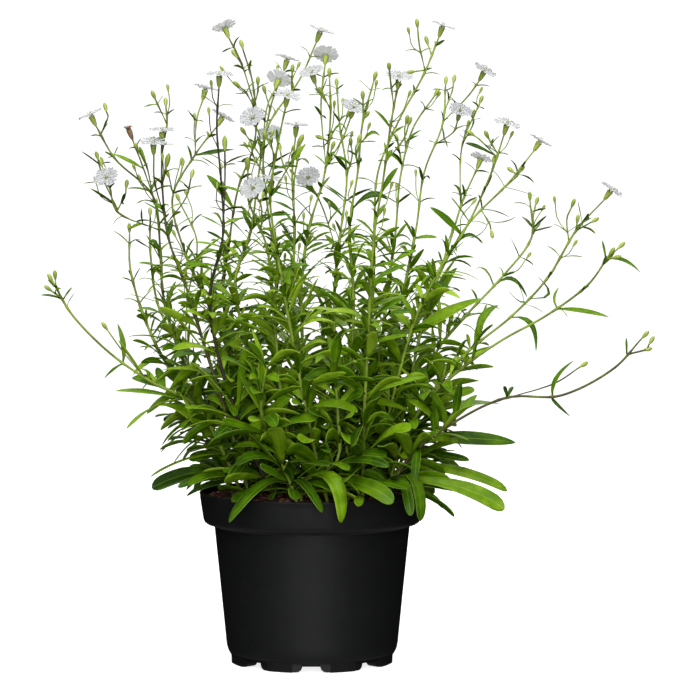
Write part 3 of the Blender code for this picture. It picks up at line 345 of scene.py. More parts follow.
spray("stem_right_side", (46, -8), -20, "bloom",
      [(60, 140), (78, 166), (95, 184), (113, 198), (127, 207), (134, 219), (139, 227),
       (147, 241), (152, 249), (157, 257), (163, 264), (172, 272)],
      ("bud", [(147, 241), (146, 252), (148, 260), (151, 267)]),
      ("bud", [(152, 249), (158, 253), (165, 256)]),
      ("bud", [(152, 249), (153, 258)]),
      ("leaf", [(127, 207), (120, 208), (114, 214)]),
      ("leaf", [(127, 207), (136, 212), (130, 222)]),
      ("leaf", [(113, 198), (126, 195), (129, 179)]),
      ("leaf", [(56, 130), (90, 130), (118, 128)], 6),
      ("leaf", [(95, 184), (98, 198), (107, 206)]))
spray("stem_right_reach", (42, -24), -50, "bud",
      [(56, 136), (74, 158), (92, 174), (110, 186), (125, 195), (141, 203), (150, 211),
       (162, 220), (171, 230), (174, 239)],
      ("bud", [(171, 230), (176, 236), (180, 242)]),
      ("bud", [(171, 230), (178, 234)]),
      ("leaf", [(141, 203), (155, 203), (171, 200)]),
      ("leaf", [(141, 203), (139, 210), (142, 216)]),
      ("leaf", [(171, 230), (167, 243)]),
      ("leaf", [(48, 112), (82, 110), (113, 99)], 4),
      ("leaf", [(171, 230), (179, 232), (189, 225)]))
spray("stem_right_low", (41, -38), -72, "bud",
      [(58, 120), (76, 134), (95, 146), (110, 152), (125, 153), (138, 152), (155, 159),
       (170, 167), (185, 176), (194, 191)],
      ("bud", [(185, 176), (192, 180), (197, 188)]),
      ("bud", [(185, 176), (191, 178), (196, 181)]),
      ("bud", [(110, 152), (130, 157), (152, 166), (159, 173)], 14),
      ("leaf", [(138, 152), (141, 164), (150, 174)]),
      ("leaf", [(138, 152), (141, 150), (149, 142)]),
      ("leaf", [(48, 108), (84, 102), (112, 89)], -4),
      ("leaf", [(50, 107), (60, 105), (63, 81)], -16),
      ("leaf", [(47, 106), (54, 103), (57, 84)], -24),
      ("leaf", [(185, 176), (181, 187)]))
spray("stem_front_skirt", (-8, -46), -74, "leafy",
      [(-14, 112), (-22, 122), (-28, 138), (-30, 156), (-26, 172)],
      ("leafy", [(-10, 104), (12, 112), (14, 132), (15, 156), (12, 172)], -4),
      ("leaf", [(-10, 104), (-28, 103), (-49, 81)], -22),
      ("leaf", [(-10, 104), (-6, 104), (6, 86)], -27),
      ("leaf", [(-10, 104), (10, 107), (17, 80)], -29))
spray("stem_back_skirt", (-30, 44), 84, "leafy",
      [(-34, 112), (-40, 130), (-44, 152), (-42, 176), (-36, 196)],
      ("leafy", [(-34, 112), (-4, 128), (6, 150), (8, 176), (4, 196)], 24))


def spread_by_distance(x, z, y):
    """Move a point read at the pot's axis to its own depth, along the line of sight."""
    scale = 1 + y / VIEW_DISTANCE
    return Vector((VIEW_X + (x - VIEW_X) * scale, y, VIEW_Z + (z - VIEW_Z) * scale))


def front_view(point):
    """Where a point is seen at the pot's axis."""
    scale = 1 + point.y / VIEW_DISTANCE
    return VIEW_X + (point.x - VIEW_X) / scale, VIEW_Z + (point.z - VIEW_Z) / scale


def smooth_path(points, step):
    """Even samples, about a step apart, of a smooth curve through the points."""
    ends = [2 * points[0] - points[1]] + list(points) + [2 * points[-1] - points[-2]]
    fine = []
    for a, b, c, d in zip(ends, ends[1:], ends[2:], ends[3:]):
        for k in range(12):
            t = k / 12
            fine.append(0.5 * (2 * b + (c - a) * t + (2 * a - 5 * b + 4 * c - d) * t * t
                               + (3 * b - a - 3 * c + d) * t ** 3))
    fine.append(points[-1].copy())
    length = sum((q - p).length for p, q in zip(fine, fine[1:]))
    count = max(2, round(length / step))
    samples = [fine[0]]
    walked = 0.0
    for p, q in zip(fine, fine[1:]):
        walked += (q - p).length
        if len(samples) < count and walked >= length * len(samples) / count:
            samples.append(q)
    return samples + [fine[-1]]


def around(side, across, turn):
    """The direction at a turn round an axis, from the side towards across."""
    return side * math.cos(turn) + across * math.sin(turn)


def skin(rings, tip=None):
    """Loft a chain of rings of equal corners, closed by a flat face or drawn to a tip."""
    corners = len(rings[0])
    verts = [corner for ring in rings for corner in ring]
    faces = [tuple(reversed(range(corners)))]
    for start in range(0, len(verts) - corners, corners):
        for k in range(corners):
            a, b = start + k, start + (k + 1) % corners
            faces += [(a, b, b + corners), (a, b + corners, a + corners)]
    last = len(verts) - corners
    if tip is None:
        faces.append(tuple(range(last, last + corners)))
    else:
        faces += [(last + k, last + (k + 1) % corners, len(verts)) for k in range(corners)]
        verts.append(tip)
    return verts, faces


def tube(points, radii, corners, grow=0.0):
    """A stalk with its own radius at each point. A last radius of zero draws it to a tip."""
    rings = []
    side = (points[1] - points[0]).orthogonal()
    for i, point in enumerate(points):
        along = (points[min(i + 1, len(points) - 1)] - points[max(i - 1, 0)]).normalized()
        side = (side - along * side.dot(along)).normalized()
        across = along.cross(side)
        rings.append([point + around(side, across, 2 * math.pi * k / corners) * (radii[i] + grow)
                      for k in range(corners)])
    if radii[-1] > 0:
        return skin(rings)
    return skin(rings[:-1], points[-1] + (points[-1] - points[-2]).normalized() * grow)


def leaf_breadth(t, peak):
    """Half width at t along a leaf, as a share of its widest half width."""
    if t < peak:
        rise = t / peak
        return 0.3 + 0.7 * rise * rise * (3 - 2 * rise)
    fall = (t - peak) / (1 - peak)
    blunt = 2.2 + 4 * max(0, peak - 0.5)
    return max(0.0, 1 - fall ** blunt) ** 0.75


def leaf_point(leaf, t):
    """The midrib at t along a leaf, from its root to its tip."""
    root, bend, tip = leaf["curve"]
    return root * (1 - t) ** 2 + bend * 2 * t * (1 - t) + tip * t * t


def leaf_blade(leaf, stations, grow=0.0, keel=LEAF_KEEL):
    """A blade that is flat above and keeled below, or a looser hull round it if grown."""
    rings = []
    side = leaf["side"]
    for t in stations:
        point = leaf_point(leaf, t)
        along = (leaf_point(leaf, t + 0.01) - leaf_point(leaf, t - 0.01)).normalized()
        above = side.cross(along).normalized()
        share = leaf_breadth(t, leaf["peak"])
        half = leaf["width"] / 2 * share if t else ROOT_HALF_WIDTH
        drop = keel * (0.7 + 0.3 * share) if t else 0.5
        if grow:
            left, right = point - side * (half + grow), point + side * (half + grow)
            rings.append([right + above * grow, right - above * grow,
                          point - above * (drop + grow), left - above * grow, left + above * grow])
        else:
            rings.append([point + side * half, point - above * drop, point - side * half])
    tip = leaf["curve"][2]
    return skin(rings, tip + (tip - leaf["curve"][1]).normalized() * grow)


def corolla_outline(rise, rng):
    """Corners of the toothed petals round the axis: turn, reach, and height along the axis."""
    corners = []
    for petal in range(PETALS):
        middle = 2 * math.pi * petal / PETALS
        size = rng.uniform(0.92, 1.05)
        lift = rise + rng.uniform(-0.5, 0.5)
        for turn, reach in ((-0.60, 0), (-0.44, 0.66), (-0.20, 1), (0, 0.78), (0.20, 1),
                            (0.44, 0.66)):
            out = PETAL_VALLEY + (PETAL_REACH * size - PETAL_VALLEY) * reach
            height = lift * reach ** 1.3
            corners.append((middle + turn, math.sqrt(max(9.0, out * out - height * height))
                            if reach else PETAL_VALLEY, height))
    return corners


def corolla_shape(bloom, grow=0.0):
    """A toothed dish of even thickness across the flower's axis."""
    axis, place = bloom["axis"], bloom["place"]
    side = axis.orthogonal().normalized()
    across = axis.cross(side)
    above = axis * grow
    below = axis * -(PETAL_THICKNESS + grow / 2)
    top = [place + around(side, across, turn) * (reach + grow) + axis * height + above
           for turn, reach, height in bloom["outline"]]
    bottom = [corner - above + below for corner in top]
    count = len(top)
    verts = top + bottom + [place + above, place + below]
    faces = []
    for k in range(count):
        n = (k + 1) % count
        faces += [(k, n, 2 * count), (count + n, count + k, 2 * count + 1),
                  (count + k, count + n, n), (count + k, n, k)]
    return verts, faces


class Crowd:
    """What already stands, to tell whether a new piece would touch it."""

    def __init__(self):
        self.cells = {}

    def cells_near(self, low, high):
        return product(*(range(int(low[k] // CELL), int(high[k] // CELL) + 1) for k in range(3)))

    def add(self, owner, shape):
        low, high = extent(shape)
        piece = (owner, low, high, BVHTree.FromPolygons(*shape))
        for cell in self.cells_near(low, high):
            self.cells.setdefault(cell, []).append(piece)

    def touches(self, shape, only=None, but=None):
        """Whether the shape meets a piece, of one owner only or of any but one."""
        low, high = extent(shape)
        tree = None
        near = [piece for cell in self.cells_near(low, high) for piece in self.cells.get(cell, ())]
        for owner, other_low, other_high, other in near:
            if owner == but or (only is not None and owner != only):
                continue
            if any(low[k] > other_high[k] or high[k] < other_low[k] for k in range(3)):
                continue
            tree = tree or BVHTree.FromPolygons(*shape)
            if tree.overlap(other):
                return True
        return False


def extent(shape):
    """A shape's lowest and highest corners."""
    verts = shape[0]
    return ([min(v[k] for v in verts) for k in range(3)],
            [max(v[k] for v in verts) for k in range(3)])


def pot_hull():
    """The pot and its compost as one plain turned shape that leaves stay clear of."""
    outer = RIM_RADIUS + 0.4
    profile = ((1, SOIL_TOP - 12), (COLLAR_FOOT_RADIUS, RIM_HEIGHT - COLLAR_HEIGHT),
               (outer, RIM_HEIGHT - 3), (outer, RIM_HEIGHT), (outer - 2.4, RIM_HEIGHT),
               (outer - 2.8, SOIL_TOP + SOIL_RELIEF), (1, SOIL_TOP + SOIL_RELIEF))
    turns = [2 * math.pi * k / 36 for k in range(36)]
    return skin([[Vector((r * math.cos(a), r * math.sin(a), z)) for a in turns]
                 for r, z in profile])


def swelling(end):
    """How a stalk swells at its end: distances back from the end, each with its radius."""
    if end == "bloom":
        top = PETAL_THICKNESS + CUP_TO_PETALS
        return ((CUP_LENGTH, STALK_RADIUS), (CUP_LENGTH - 1.3, 1.05), (top + 2.4, 1.5),
                (top, CUP_RADIUS))
    if end in ("shut", "withered"):
        return ((SHUT_LENGTH, STALK_RADIUS), (SHUT_LENGTH - 1.6, 1.1), (3.0, SHUT_RADIUS),
                (0, 0))
    if end == "bud":
        return ((BUD_LENGTH, STALK_RADIUS), (BUD_LENGTH * 0.7, 1.1),
                (BUD_LENGTH * 0.33, BUD_RADIUS), (0, 0))
    return ((0, 0),)


def stalk_body(strand):
    """A stalk's points up to where its end begins to swell."""
    return strand["points"][:len(strand["points"]) - len(swelling(strand["end"])) + 1]


def stem_radius(point):
    """A main stalk's radius, which shrinks from the compost up."""
    share = min(1, max(0, (point.z - SOIL_TOP) / (STEM_TAPER_TO - SOIL_TOP)))
    return STEM_BASE_RADIUS + (STEM_TOP_RADIUS - STEM_BASE_RADIUS) * share


def make_strand(path, end, nod, outline, trunk):
    """One stalk with the swelling of its end, and its corolla if it blooms."""
    swell = swelling(end)
    tip = path[-1]
    kept = [p for p in path[:-1] if (p - tip).length > swell[0][0] + 2.5] or path[:1]
    aim = (tip - kept[-1]).normalized()
    if end == "bloom":
        aim = (aim + Vector((0, -nod, 0.15))).normalized()
    points = kept + [tip - aim * back for back, _ in swell]
    radii = [stem_radius(p) if trunk or end == "leafy" else STALK_RADIUS for p in kept]
    radii += [radius for _, radius in swell]
    if not trunk:
        radii[0] = STALK_ROOT_RADIUS
    bloom = {"place": tip, "axis": aim, "outline": outline} if end == "bloom" else None
    return {"points": points, "radii": radii, "corners": 4 if trunk else 3, "end": end,
            "bloom": bloom, "trunk": trunk}


def place_strand(crowd, owner, places, end, nod, rise, foot=None):
    """Set a stalk where it meets nothing of another stem, by bending it more and more in depth."""
    rng = random.Random(f"{owner} {places[-1].x:.0f} {places[-1].z:.0f}")
    outline = corolla_outline(rise, rng)
    first = None
    for shift in DEPTH_SHIFTS:
        count = len(places) - 1
        bent = []
        for k, place in enumerate(places):
            x, z = front_view(place)
            bent.append(spread_by_distance(x, z, place.y + shift * (k / count) ** 0.7))
        bent[0] = places[0]
        path = smooth_path(bent, STATION_STEP)
        if foot:
            path.insert(0, foot)
        strand = make_strand(path, end, nod, outline, bool(foot))
        first = first or strand
        start = 0 if foot else 1
        hull = tube(strand["points"][start:], strand["radii"][start:], strand["corners"],
                    STEM_CLEARANCE)
        guard = corolla_shape(strand["bloom"], LEAF_CLEARANCE) if strand["bloom"] else None
        if crowd.touches(hull, but=owner):
            continue
        if guard and crowd.touches(guard):
            continue
        return strand, True
    return first, False


def add_strand(crowd, owner, strand, strands):
    """Note a placed stalk, and its corolla as a piece of its own."""
    strands.append(strand)
    crowd.add(owner, tube(strand["points"], strand["radii"], strand["corners"]))
    if strand["bloom"]:
        crowd.add(owner + " corolla", corolla_shape(strand["bloom"]))


def place_leaf(crowd, owner, make, tries):
    """Set the first of a leaf's tried places where it meets nothing but its own stem's foot."""
    for change in tries:
        leaf = make(*change)
        stations = leaf_stations(leaf)
        if crowd.touches(leaf_blade(leaf, stations, LEAF_CLEARANCE), but=owner):
            continue
        if crowd.touches(leaf_blade(leaf, stations[1:], LEAF_CLEARANCE / 2), only=owner):
            continue
        crowd.add(owner, leaf_blade(leaf, stations))
        return leaf
    return None


def leaf_stations(leaf):
    """Where a leaf has its rings: fewer on a bract, more on a broad leaf."""
    if leaf["width"] < NARROW_LEAF:
        return (0, 0.42)
    if leaf["width"] < 5.5:
        return (0, 0.34, 0.72)
    return (0, 0.32, 0.64, 0.88)


def rule_leaf(root, turn, length, width, climb, droop, peak, twist):
    """A leaf that leaves its stem at a turn round it and a climb, and droops towards its tip."""
    out = Vector((math.cos(turn), math.sin(turn), 0))
    bend = root + (out * math.cos(climb) + Vector((0, 0, math.sin(climb)))) * (length / 2)
    tip = 2 * bend - root - Vector((0, 0, droop * length))
    flat = out.cross(Vector((0, 0, 1)))
    side = (flat * math.cos(twist) + Vector((0, 0, math.sin(twist)))).normalized()
    return {"curve": (root, bend, tip), "side": side, "width": width, "peak": peak}


def growth_height(place):
    """Height of a place above the ground, with more for how far it reaches out of the pot."""
    return place.z + 1.6 * max(0, math.hypot(place.x, place.y) - 70)


def leaf_habit(height):
    """Length, width, climb, droop and peak of a leaf by its growth height."""
    for (low, *a), (high, *b) in zip(LEAF_HABIT, LEAF_HABIT[1:]):
        if height <= high:
            share = max(0, (height - low) / (high - low))
            return [p + (q - p) * share for p, q in zip(a, b)]
    return LEAF_HABIT[-1][1:]


def grow_pair(crowd, owner, root, turn, rng):
    """A pair of opposite leaves, each bent clear or left out."""
    pair = []
    for half in (0, math.pi):
        length, width, climb, droop, peak = leaf_habit(growth_height(root))
        length *= rng.uniform(0.85, 1.15)
        width *= rng.uniform(0.85, 1.15)
        climb += rng.uniform(-0.3, 0.3)
        droop *= rng.uniform(0.3, 1.8)
        twist = rng.uniform(-0.7, 0.7)
        start = turn + half + rng.uniform(-0.25, 0.25)

        def make(swing, lift, scale):
            return rule_leaf(root, start + swing, length * scale, width * (0.5 + 0.5 * scale),
                             climb + lift, droop, peak, twist)
        leaf = place_leaf(crowd, owner, make, LEAF_TRIES)
        if leaf:
            pair.append(leaf)
    return pair


def seen_leaf(crowd, owner, root, seen, reach):
    """A leaf read off the front view: where its tip is, and its middle if it is bowed."""
    tip_x, tip_z = seen[-1]
    span = math.dist(front_view(root), seen[-1])
    low = root.z < 115

    def make(swing, lift, scale):
        tip = spread_by_distance(tip_x, tip_z, root.y + reach + swing * span * 0.6)
        tip = root + (tip - root) * scale
        middle = (root + tip) / 2 + Vector((0, 0, span * (0.06 + lift * 0.3)))
        if len(seen) == 3:
            middle = spread_by_distance(*seen[1], (root.y * 0.45 + tip.y * 0.55))
            middle += Vector((0, 0, span * lift * 0.3))
        bend = 2 * middle - (root + tip) / 2
        flat = (tip - root).cross(Vector((0, -0.7, 0.7)))
        if flat.length < 0.35 * span:
            flat = (tip - root).cross(Vector((0.3, 1, 0)))
        width = min(9.5, span * 0.25) if low else min(8.5, max(1.7, span * 0.19))
        return {"curve": (root, bend, tip), "side": flat.normalized(), "width": width,
                "peak": 0.7 if low else 0.45}
    return place_leaf(crowd, owner, make, LEAF_TRIES)


def nearest_place(strands, x, z):
    """The place on the stalks drawn so far that is seen nearest to a place in the front view."""
    best = None
    for strand in strands:
        points = strand["points"]
        for a, b in zip(points[1:], points[2:]):
            for k in range(9):
                place = a.lerp(b, k / 8)
                off = math.dist(front_view(place), (x, z))
                if place.z > SOIL_TOP + 3 and (best is None or off < best[0]):
                    best = (off, place)
    return best[1]


def leaf_places(strand, start):
    """Places up a leafy stalk for its pairs of leaves, closer together low down."""
    places = []
    due = start
    for a, b in zip(strand["points"], strand["points"][1:]):
        while a.z < due <= b.z:
            place = a.lerp(b, (due - a.z) / (b.z - a.z))
            if growth_height(place) < LEAF_TOP:
                places.append(place)
            due += LEAF_SPACING * (0.7 + 0.5 * (due - LEAF_FOOT) / (LEAF_TOP - LEAF_FOOT))
    return places


def grow_trunks(plant, crowd):
    """The main stalk of every stem, from its hole in the compost up."""
    for name, foot, depth, end, stem, _ in SPRAYS:
        low = Vector((*foot, SOIL_TOP - HOLE_DEPTH + HOLE_GAP))
        start = Vector((*foot, SOIL_TOP + 2))
        places = [start] + [spread_by_distance(x, z, foot[1] + (depth - foot[1])
                                               * ((k + 1) / len(stem)) ** 0.8)
                            for k, (x, z) in enumerate(stem)]
        strand, _ = place_strand(crowd, name, places, end, 0.1, 0.4, low)
        add_strand(crowd, name, strand, plant[name]["strands"])


def grow_side_stalks(plant, crowd):
    """The side stalks, each from the nearest place on its own stem, where there is room."""
    for name, *_, sides in SPRAYS:
        strands = plant[name]["strands"]
        for end, seen, *extra in sides:
            if end != "leaf":
                root = nearest_place(strands, *seen[0])
                rng = random.Random(f"{name} {seen[-1]}")
                span = math.dist(front_view(root), seen[-1])
                reach = extra[0] if extra else span * rng.choice((-0.45, -0.3, 0.3, 0.45))
                nod = extra[1] if len(extra) > 1 else 0.1
                count = len(seen) - 1
                places = [root] + [spread_by_distance(x, z, root.y + reach * (k + 1) / count)
                                   for k, (x, z) in enumerate(seen[1:])]
                strand, clear = place_strand(crowd, name, places, end, nod, 0.8)
                if clear:
                    add_strand(crowd, name, strand, strands)


def grow_seen_leaves(plant, crowd):
    """The leaves that are read one by one off the front view."""
    for name, *_, sides in SPRAYS:
        for end, seen, *extra in sides:
            if end == "leaf":
                root = nearest_place(plant[name]["strands"], *seen[0])
                leaf = seen_leaf(crowd, name, root, seen, extra[0] if extra else 0)
                if leaf:
                    plant[name]["leaves"].append(leaf)


def grow_mound(plant, crowd):
    """Pairs of leaves up every leafy stalk, from the lowest on."""
    rng = random.Random(LEAF_SEED)
    places = []
    for name, growth in plant.items():
        for strand in growth["strands"]:
            if strand["trunk"] or strand["end"] == "leafy":
                turn = rng.uniform(0, math.pi)
                start = max(LEAF_FOOT, strand["points"][0].z + 2) + rng.uniform(0, 12)
                for k, place in enumerate(leaf_places(strand, start)):
                    places.append((round(place.z, 1), name, place, turn + k * math.pi / 2))
    for _, name, place, turn in sorted(places, key=lambda entry: entry[:2]):
        plant[name]["leaves"] += grow_pair(crowd, name, place, turn, rng)


def grow_plant():
    """Grow every stem: trunks first, then side stalks, then leaves from the foot up."""
    crowd = Crowd()
    plant = {entry[0]: {"strands": [], "leaves": []} for entry in SPRAYS}
    grow_trunks(plant, crowd)
    crowd.add("pot", pot_hull())
    grow_side_stalks(plant, crowd)
    grow_seen_leaves(plant, crowd)
    grow_mound(plant, crowd)
    return plant, crowd


# Finer shapes

# Stalks: the step along a path, their share of the solids' radius between nodes, and how much a
# node swells and how far that reaches
FINE_STEP = 3.0
SLIM_TRUNK = 0.7
SLIM_SIDE = 0.78
NODE_SWELL = 0.28
NODE_REACH = 1.7
CUP_RIBS = 10

# Blades: thickness, the least peak of a leaf with a round tip, and the width of a narrow one
BLADE = 0.24
ROUND_FROM = 0.58
NARROW_LEAF = 2.6

# Leaves that stand this far out of the pot's axis are slimmer and darker
OPEN_REACH = 100.0
OPEN_SLIM = 0.68
OPEN_DARK = 0.3

# Smaller leaves that fill the mound: spacing up a stem, and how high and how far out they grow
FILL_SEED = 4
FILL_SPACING = 3.3
FILL_SPACING_HIGH = 2.2
FILL_HIGH = 165.0
FILL_TOP = 262.0
FILL_REACH = 98.0
FILL_TRIES = (
    (0, 0, 1), (0.5, 0.2, 1), (-0.5, 0.2, 1), (0, 0.5, 0.85), (1, 0.1, 0.85), (-1, 0.1, 0.85),
    (1.8, 0.2, 0.8), (-1.8, 0.2, 0.8), (0, -0.3, 0.7), (2.6, 0.8, 0.6))

# Bracts on the upper stalks: lowest height, spacing, the height up to which they are broad, and
# the share of joints that bear a late bud
BRACT_SEED = 9
BRACT_FOOT = 205.0
BRACT_SPACING = (10, 22)
BRACT_BROAD = 290.0
LATE_BUDS = 0.3

# Pot and compost
POT_SEGMENTS = 144
SOIL_SEGMENTS = 120
SOIL_RINGS = 40
LUG = (5.9, 7.2, 4.7)
CRUMBS = 60
CRUMB_HEAPS = 20
CRUMB_SIZES = (0.7, 0.9, 1.1, 1.5)
CRUMB_SEED = 5
SHARP_EDGE = 32

# How far a stem has turned from green to purple-brown
DARK_STEMS = {
    "stem_dark": 0.9, "stem_left_high": 0.45, "stem_left_second": 0.5, "stem_left_tall": 0.35,
    "stem_left_slant": 0.3, "stem_middle_back": 0.3, "stem_right_low": 0.5,
    "stem_right_reach": 0.25}
OTHER_STEMS_DARK = 0.12

# Materials of a stem's and of a corolla's faces, by their place in the list of slots
STALK, LEAF, CUP, ROLLED_PETAL, WITHERED = range(5)
PETAL, ANTHER = range(2)

# The backdrop in metres: half its width, the floor's front and back edges, the radius of its
# curve, and how far the floor lies under the pot
STAGE_HALF = 5
STAGE_FRONT = -4
STAGE_BACK = 2
STAGE_CURVE = 1
STAGE_DROP = 0.0002

# The picture: its pixels times the millimetres of one, and the height and pitch of the view
PHOTO_SPAN = 696 * 0.575
VIEW_AIM_Z = 181.0
VIEW_PITCH = 3.0

# Lights: name, place and size in metres, and power in watts
LIGHTS = (
    ("top", (-0.06, -0.8, 1.4), 0.9, 17), ("front", (0.0, -2.0, 0.6), 1.3, 29),
    ("back", (0.1, 1.0, 1.3), 0.9, 7))
LIT_HEIGHT = 0.18


def mesh_grid(shape, rows, columns, place, tone=0.5, material=0):
    """Add a sheet of faces whose corners place(u, v) sets, with u across and v along, both 0 to 1."""
    made = bmesh.ops.create_grid(shape, x_segments=columns, y_segments=rows, size=1, calc_uvs=True)
    layer = shape.verts.layers.float["tone"]
    for vert in made["verts"]:
        vert[layer] = tone
        vert.co = place((vert.co.x + 1) / 2, (vert.co.y + 1) / 2)
    faces = list(dict.fromkeys(face for vert in made["verts"] for face in vert.link_faces))
    for face in faces:
        face.normal_update()
        face.material_index = material
        face.smooth = True
    return faces


def thicken(shape, faces, thickness, tone):
    """Give a sheet a thickness, with its own tone on the new side."""
    layer = shape.verts.layers.float["tone"]
    for part in bmesh.ops.solidify(shape, geom=faces, thickness=thickness)["geom"]:
        if isinstance(part, bmesh.types.BMVert):
            part[layer] = tone


def new_shape():
    """An empty shape whose faces can carry a place on their sheet and whose corners a tone."""
    shape = bmesh.new()
    shape.loops.layers.uv.new("map")
    shape.verts.layers.float.new("tone")
    return shape


def finish_piece(name, shape, materials, node):
    """Weld the seams, turn millimetres to metres and hand the piece over in place of its solid."""
    bmesh.ops.remove_doubles(shape, verts=shape.verts, dist=0.0005)
    bmesh.ops.scale(shape, vec=(MM, MM, MM), verts=shape.verts)
    mesh = bpy.data.meshes.new(name)
    shape.to_mesh(mesh)
    shape.free()
    for material in materials:
        mesh.materials.append(material)
    obj = bpy.data.objects.new(name, mesh)
    bpy.context.scene.collection.objects.link(obj)
    if node:
        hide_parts(node)
    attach(obj, "root")
    return obj


def frames_along(points):
    """Two directions across a path at each of its points, carried along it without twisting."""
    frames = []
    side = (points[1] - points[0]).orthogonal()
    for i in range(len(points)):
        along = (points[min(i + 1, len(points) - 1)] - points[max(i - 1, 0)]).normalized()
        side = (side - along * side.dot(along)).normalized()
        frames.append((side, along.cross(side)))
    return frames


def round_stalk(shape, points, radii, sides, tone, material=STALK, ribs=0, depth=0.0):
    """Skin a path with round rings, with ribs if asked for, and close both its ends."""
    if radii[0]:
        points = [points[0] + (points[0] - points[1]).normalized() * 0.05] + list(points)
        radii = [0] + list(radii)
    if radii[-1]:
        points = list(points) + [points[-1] + (points[-1] - points[-2]).normalized() * 0.05]
        radii = list(radii) + [0]
    frames = frames_along(points)
    last = len(points) - 1

    def place(u, v):
        i = round(v * last)
        side, across = frames[i]
        turn = 2 * math.pi * u
        radius = radii[i] * (1 + depth * math.cos(ribs * turn))
        return points[i] + around(side, across, turn) * radius
    return mesh_grid(shape, last, sides, place, tone, material)


def leaf_share(t, leaf):
    """Half width at t along a finer leaf, narrow at its root and round-tipped low on the plant."""
    share = leaf_breadth(t, leaf["peak"])
    if t > leaf["peak"] > ROUND_FROM:
        fall = (t - leaf["peak"]) / (1 - leaf["peak"])
        share = max(share, max(0, 1 - fall ** 5) ** 0.6)
    half = leaf["width"] / 2 * share
    neck = min(1, t / 0.16)
    return ROOT_HALF_WIDTH + (half - ROOT_HALF_WIDTH) * neck * neck * (3 - 2 * neck)


def fine_leaf(shape, leaf, tone, rng):
    """A thin blade with a channel along its midrib, raised waved edges and a pointed tip."""
    wave = rng.uniform(0.15, 0.5)
    phase = rng.uniform(0, 6)
    turn = rng.uniform(-0.7, 0.7)
    curl = rng.uniform(-0.01, 0.05) * (leaf["curve"][2] - leaf["curve"][0]).length
    rows, columns = (6, 2) if leaf["width"] < NARROW_LEAF else (10, 4)

    def place(u, v):
        t = 1 - (1 - v) ** 1.8
        across = 2 * u - 1
        point = leaf_point(leaf, t)
        along = (leaf_point(leaf, t + 0.01) - leaf_point(leaf, t - 0.01)).normalized()
        above = leaf["side"].cross(along).normalized()
        half = leaf_share(t, leaf) if v < 1 else 0.02
        lift = 0.2 * half * abs(across) ** 1.5 - 0.25
        lift += wave * abs(across) * math.sin(7 * t + phase + 1.5 * across) * half / 4
        out = half * across
        wide, high = math.cos(turn * t), math.sin(turn * t)
        return (point + leaf["side"] * (out * wide - lift * high)
                + above * (out * high + lift * wide - curl * t * t))
    thicken(shape, mesh_grid(shape, rows, columns, place, tone, LEAF), BLADE, min(1, tone + 0.14))


def fill_in(plant, crowd):
    """Grow smaller leaves all over the mound between the stems' own pairs, where there is room."""
    rng = random.Random(FILL_SEED)
    spots = []
    for name, growth in plant.items():
        for strand in growth["strands"]:
            if not strand["trunk"] and strand["end"] != "leafy":
                continue
            for a, b in zip(strand["points"], strand["points"][1:]):
                spacing = FILL_SPACING if a.z < FILL_HIGH else FILL_SPACING_HIGH
                steps = max(1, round((b - a).length / spacing))
                for k in range(steps):
                    place = a.lerp(b, (k + rng.random()) / steps)
                    out = math.hypot(place.x, place.y)
                    if LEAF_FOOT - 2 < place.z < FILL_TOP - 0.3 * out and out < FILL_REACH:
                        spots.append((place.z, name, place, rng.uniform(0, 2 * math.pi)))
    for _, name, root, start in sorted(spots, key=lambda spot: spot[0]):
        length, width, climb, droop, peak = leaf_habit(growth_height(root))
        length *= rng.uniform(0.55, 1.3)
        width *= rng.uniform(0.5, 0.85)
        climb += rng.uniform(-0.6, 0.6)
        droop *= rng.uniform(0, 2.4)
        twist = rng.uniform(-0.9, 0.9)

        def make(swing, lift, scale):
            return rule_leaf(root, start + swing, length * scale, width * (0.5 + 0.5 * scale),
                             climb + lift, droop, peak, twist)
        for change in FILL_TRIES:
            leaf = make(*change)
            blade = leaf_blade(leaf, (0.12, 0.4, 0.7), keel=0.35)
            if not crowd.touches(blade):
                crowd.add(name, blade)
                plant[name]["leaves"].append(leaf)
                break


def within_box(point):
    """Whether a point in millimetres lies inside the part's own box."""
    return all(low < p * MM < high for p, low, high in zip(point, *CAD_BOX))


def add_bracts(plant, crowd):
    """Pairs of narrow bracts at the joints of the upper stalks, some with a small late bud."""
    rng = random.Random(BRACT_SEED)
    for name, growth in plant.items():
        for strand in list(growth["strands"]):
            points = smooth_path(stalk_body(strand), 2.0)
            due = rng.uniform(4, 14)
            turn = rng.uniform(0, math.pi)
            walked = 0.0
            for a, b in zip(points, points[1:]):
                walked += (b - a).length
                if walked < due or a.z < BRACT_FOOT:
                    continue
                due = walked + rng.uniform(*BRACT_SPACING)
                turn += math.pi / 2
                along = (b - a).normalized()
                for half in (0, math.pi):
                    bract = make_bract(a, along, turn + half, rng)
                    blade = leaf_blade(bract, (0.25, 0.6), keel=0.3)
                    if within_box(bract["curve"][2]) and not crowd.touches(blade):
                        crowd.add(name, blade)
                        growth["leaves"].append(bract)
                if rng.random() < LATE_BUDS:
                    late = late_bud(a, along, turn + rng.uniform(-0.8, 0.8), rng)
                    hull = tube(late["points"][1:], late["radii"][1:], 4, 0.2)
                    if within_box(late["points"][-1]) and not crowd.touches(hull):
                        crowd.add(name, hull)
                        growth["strands"].append(late)


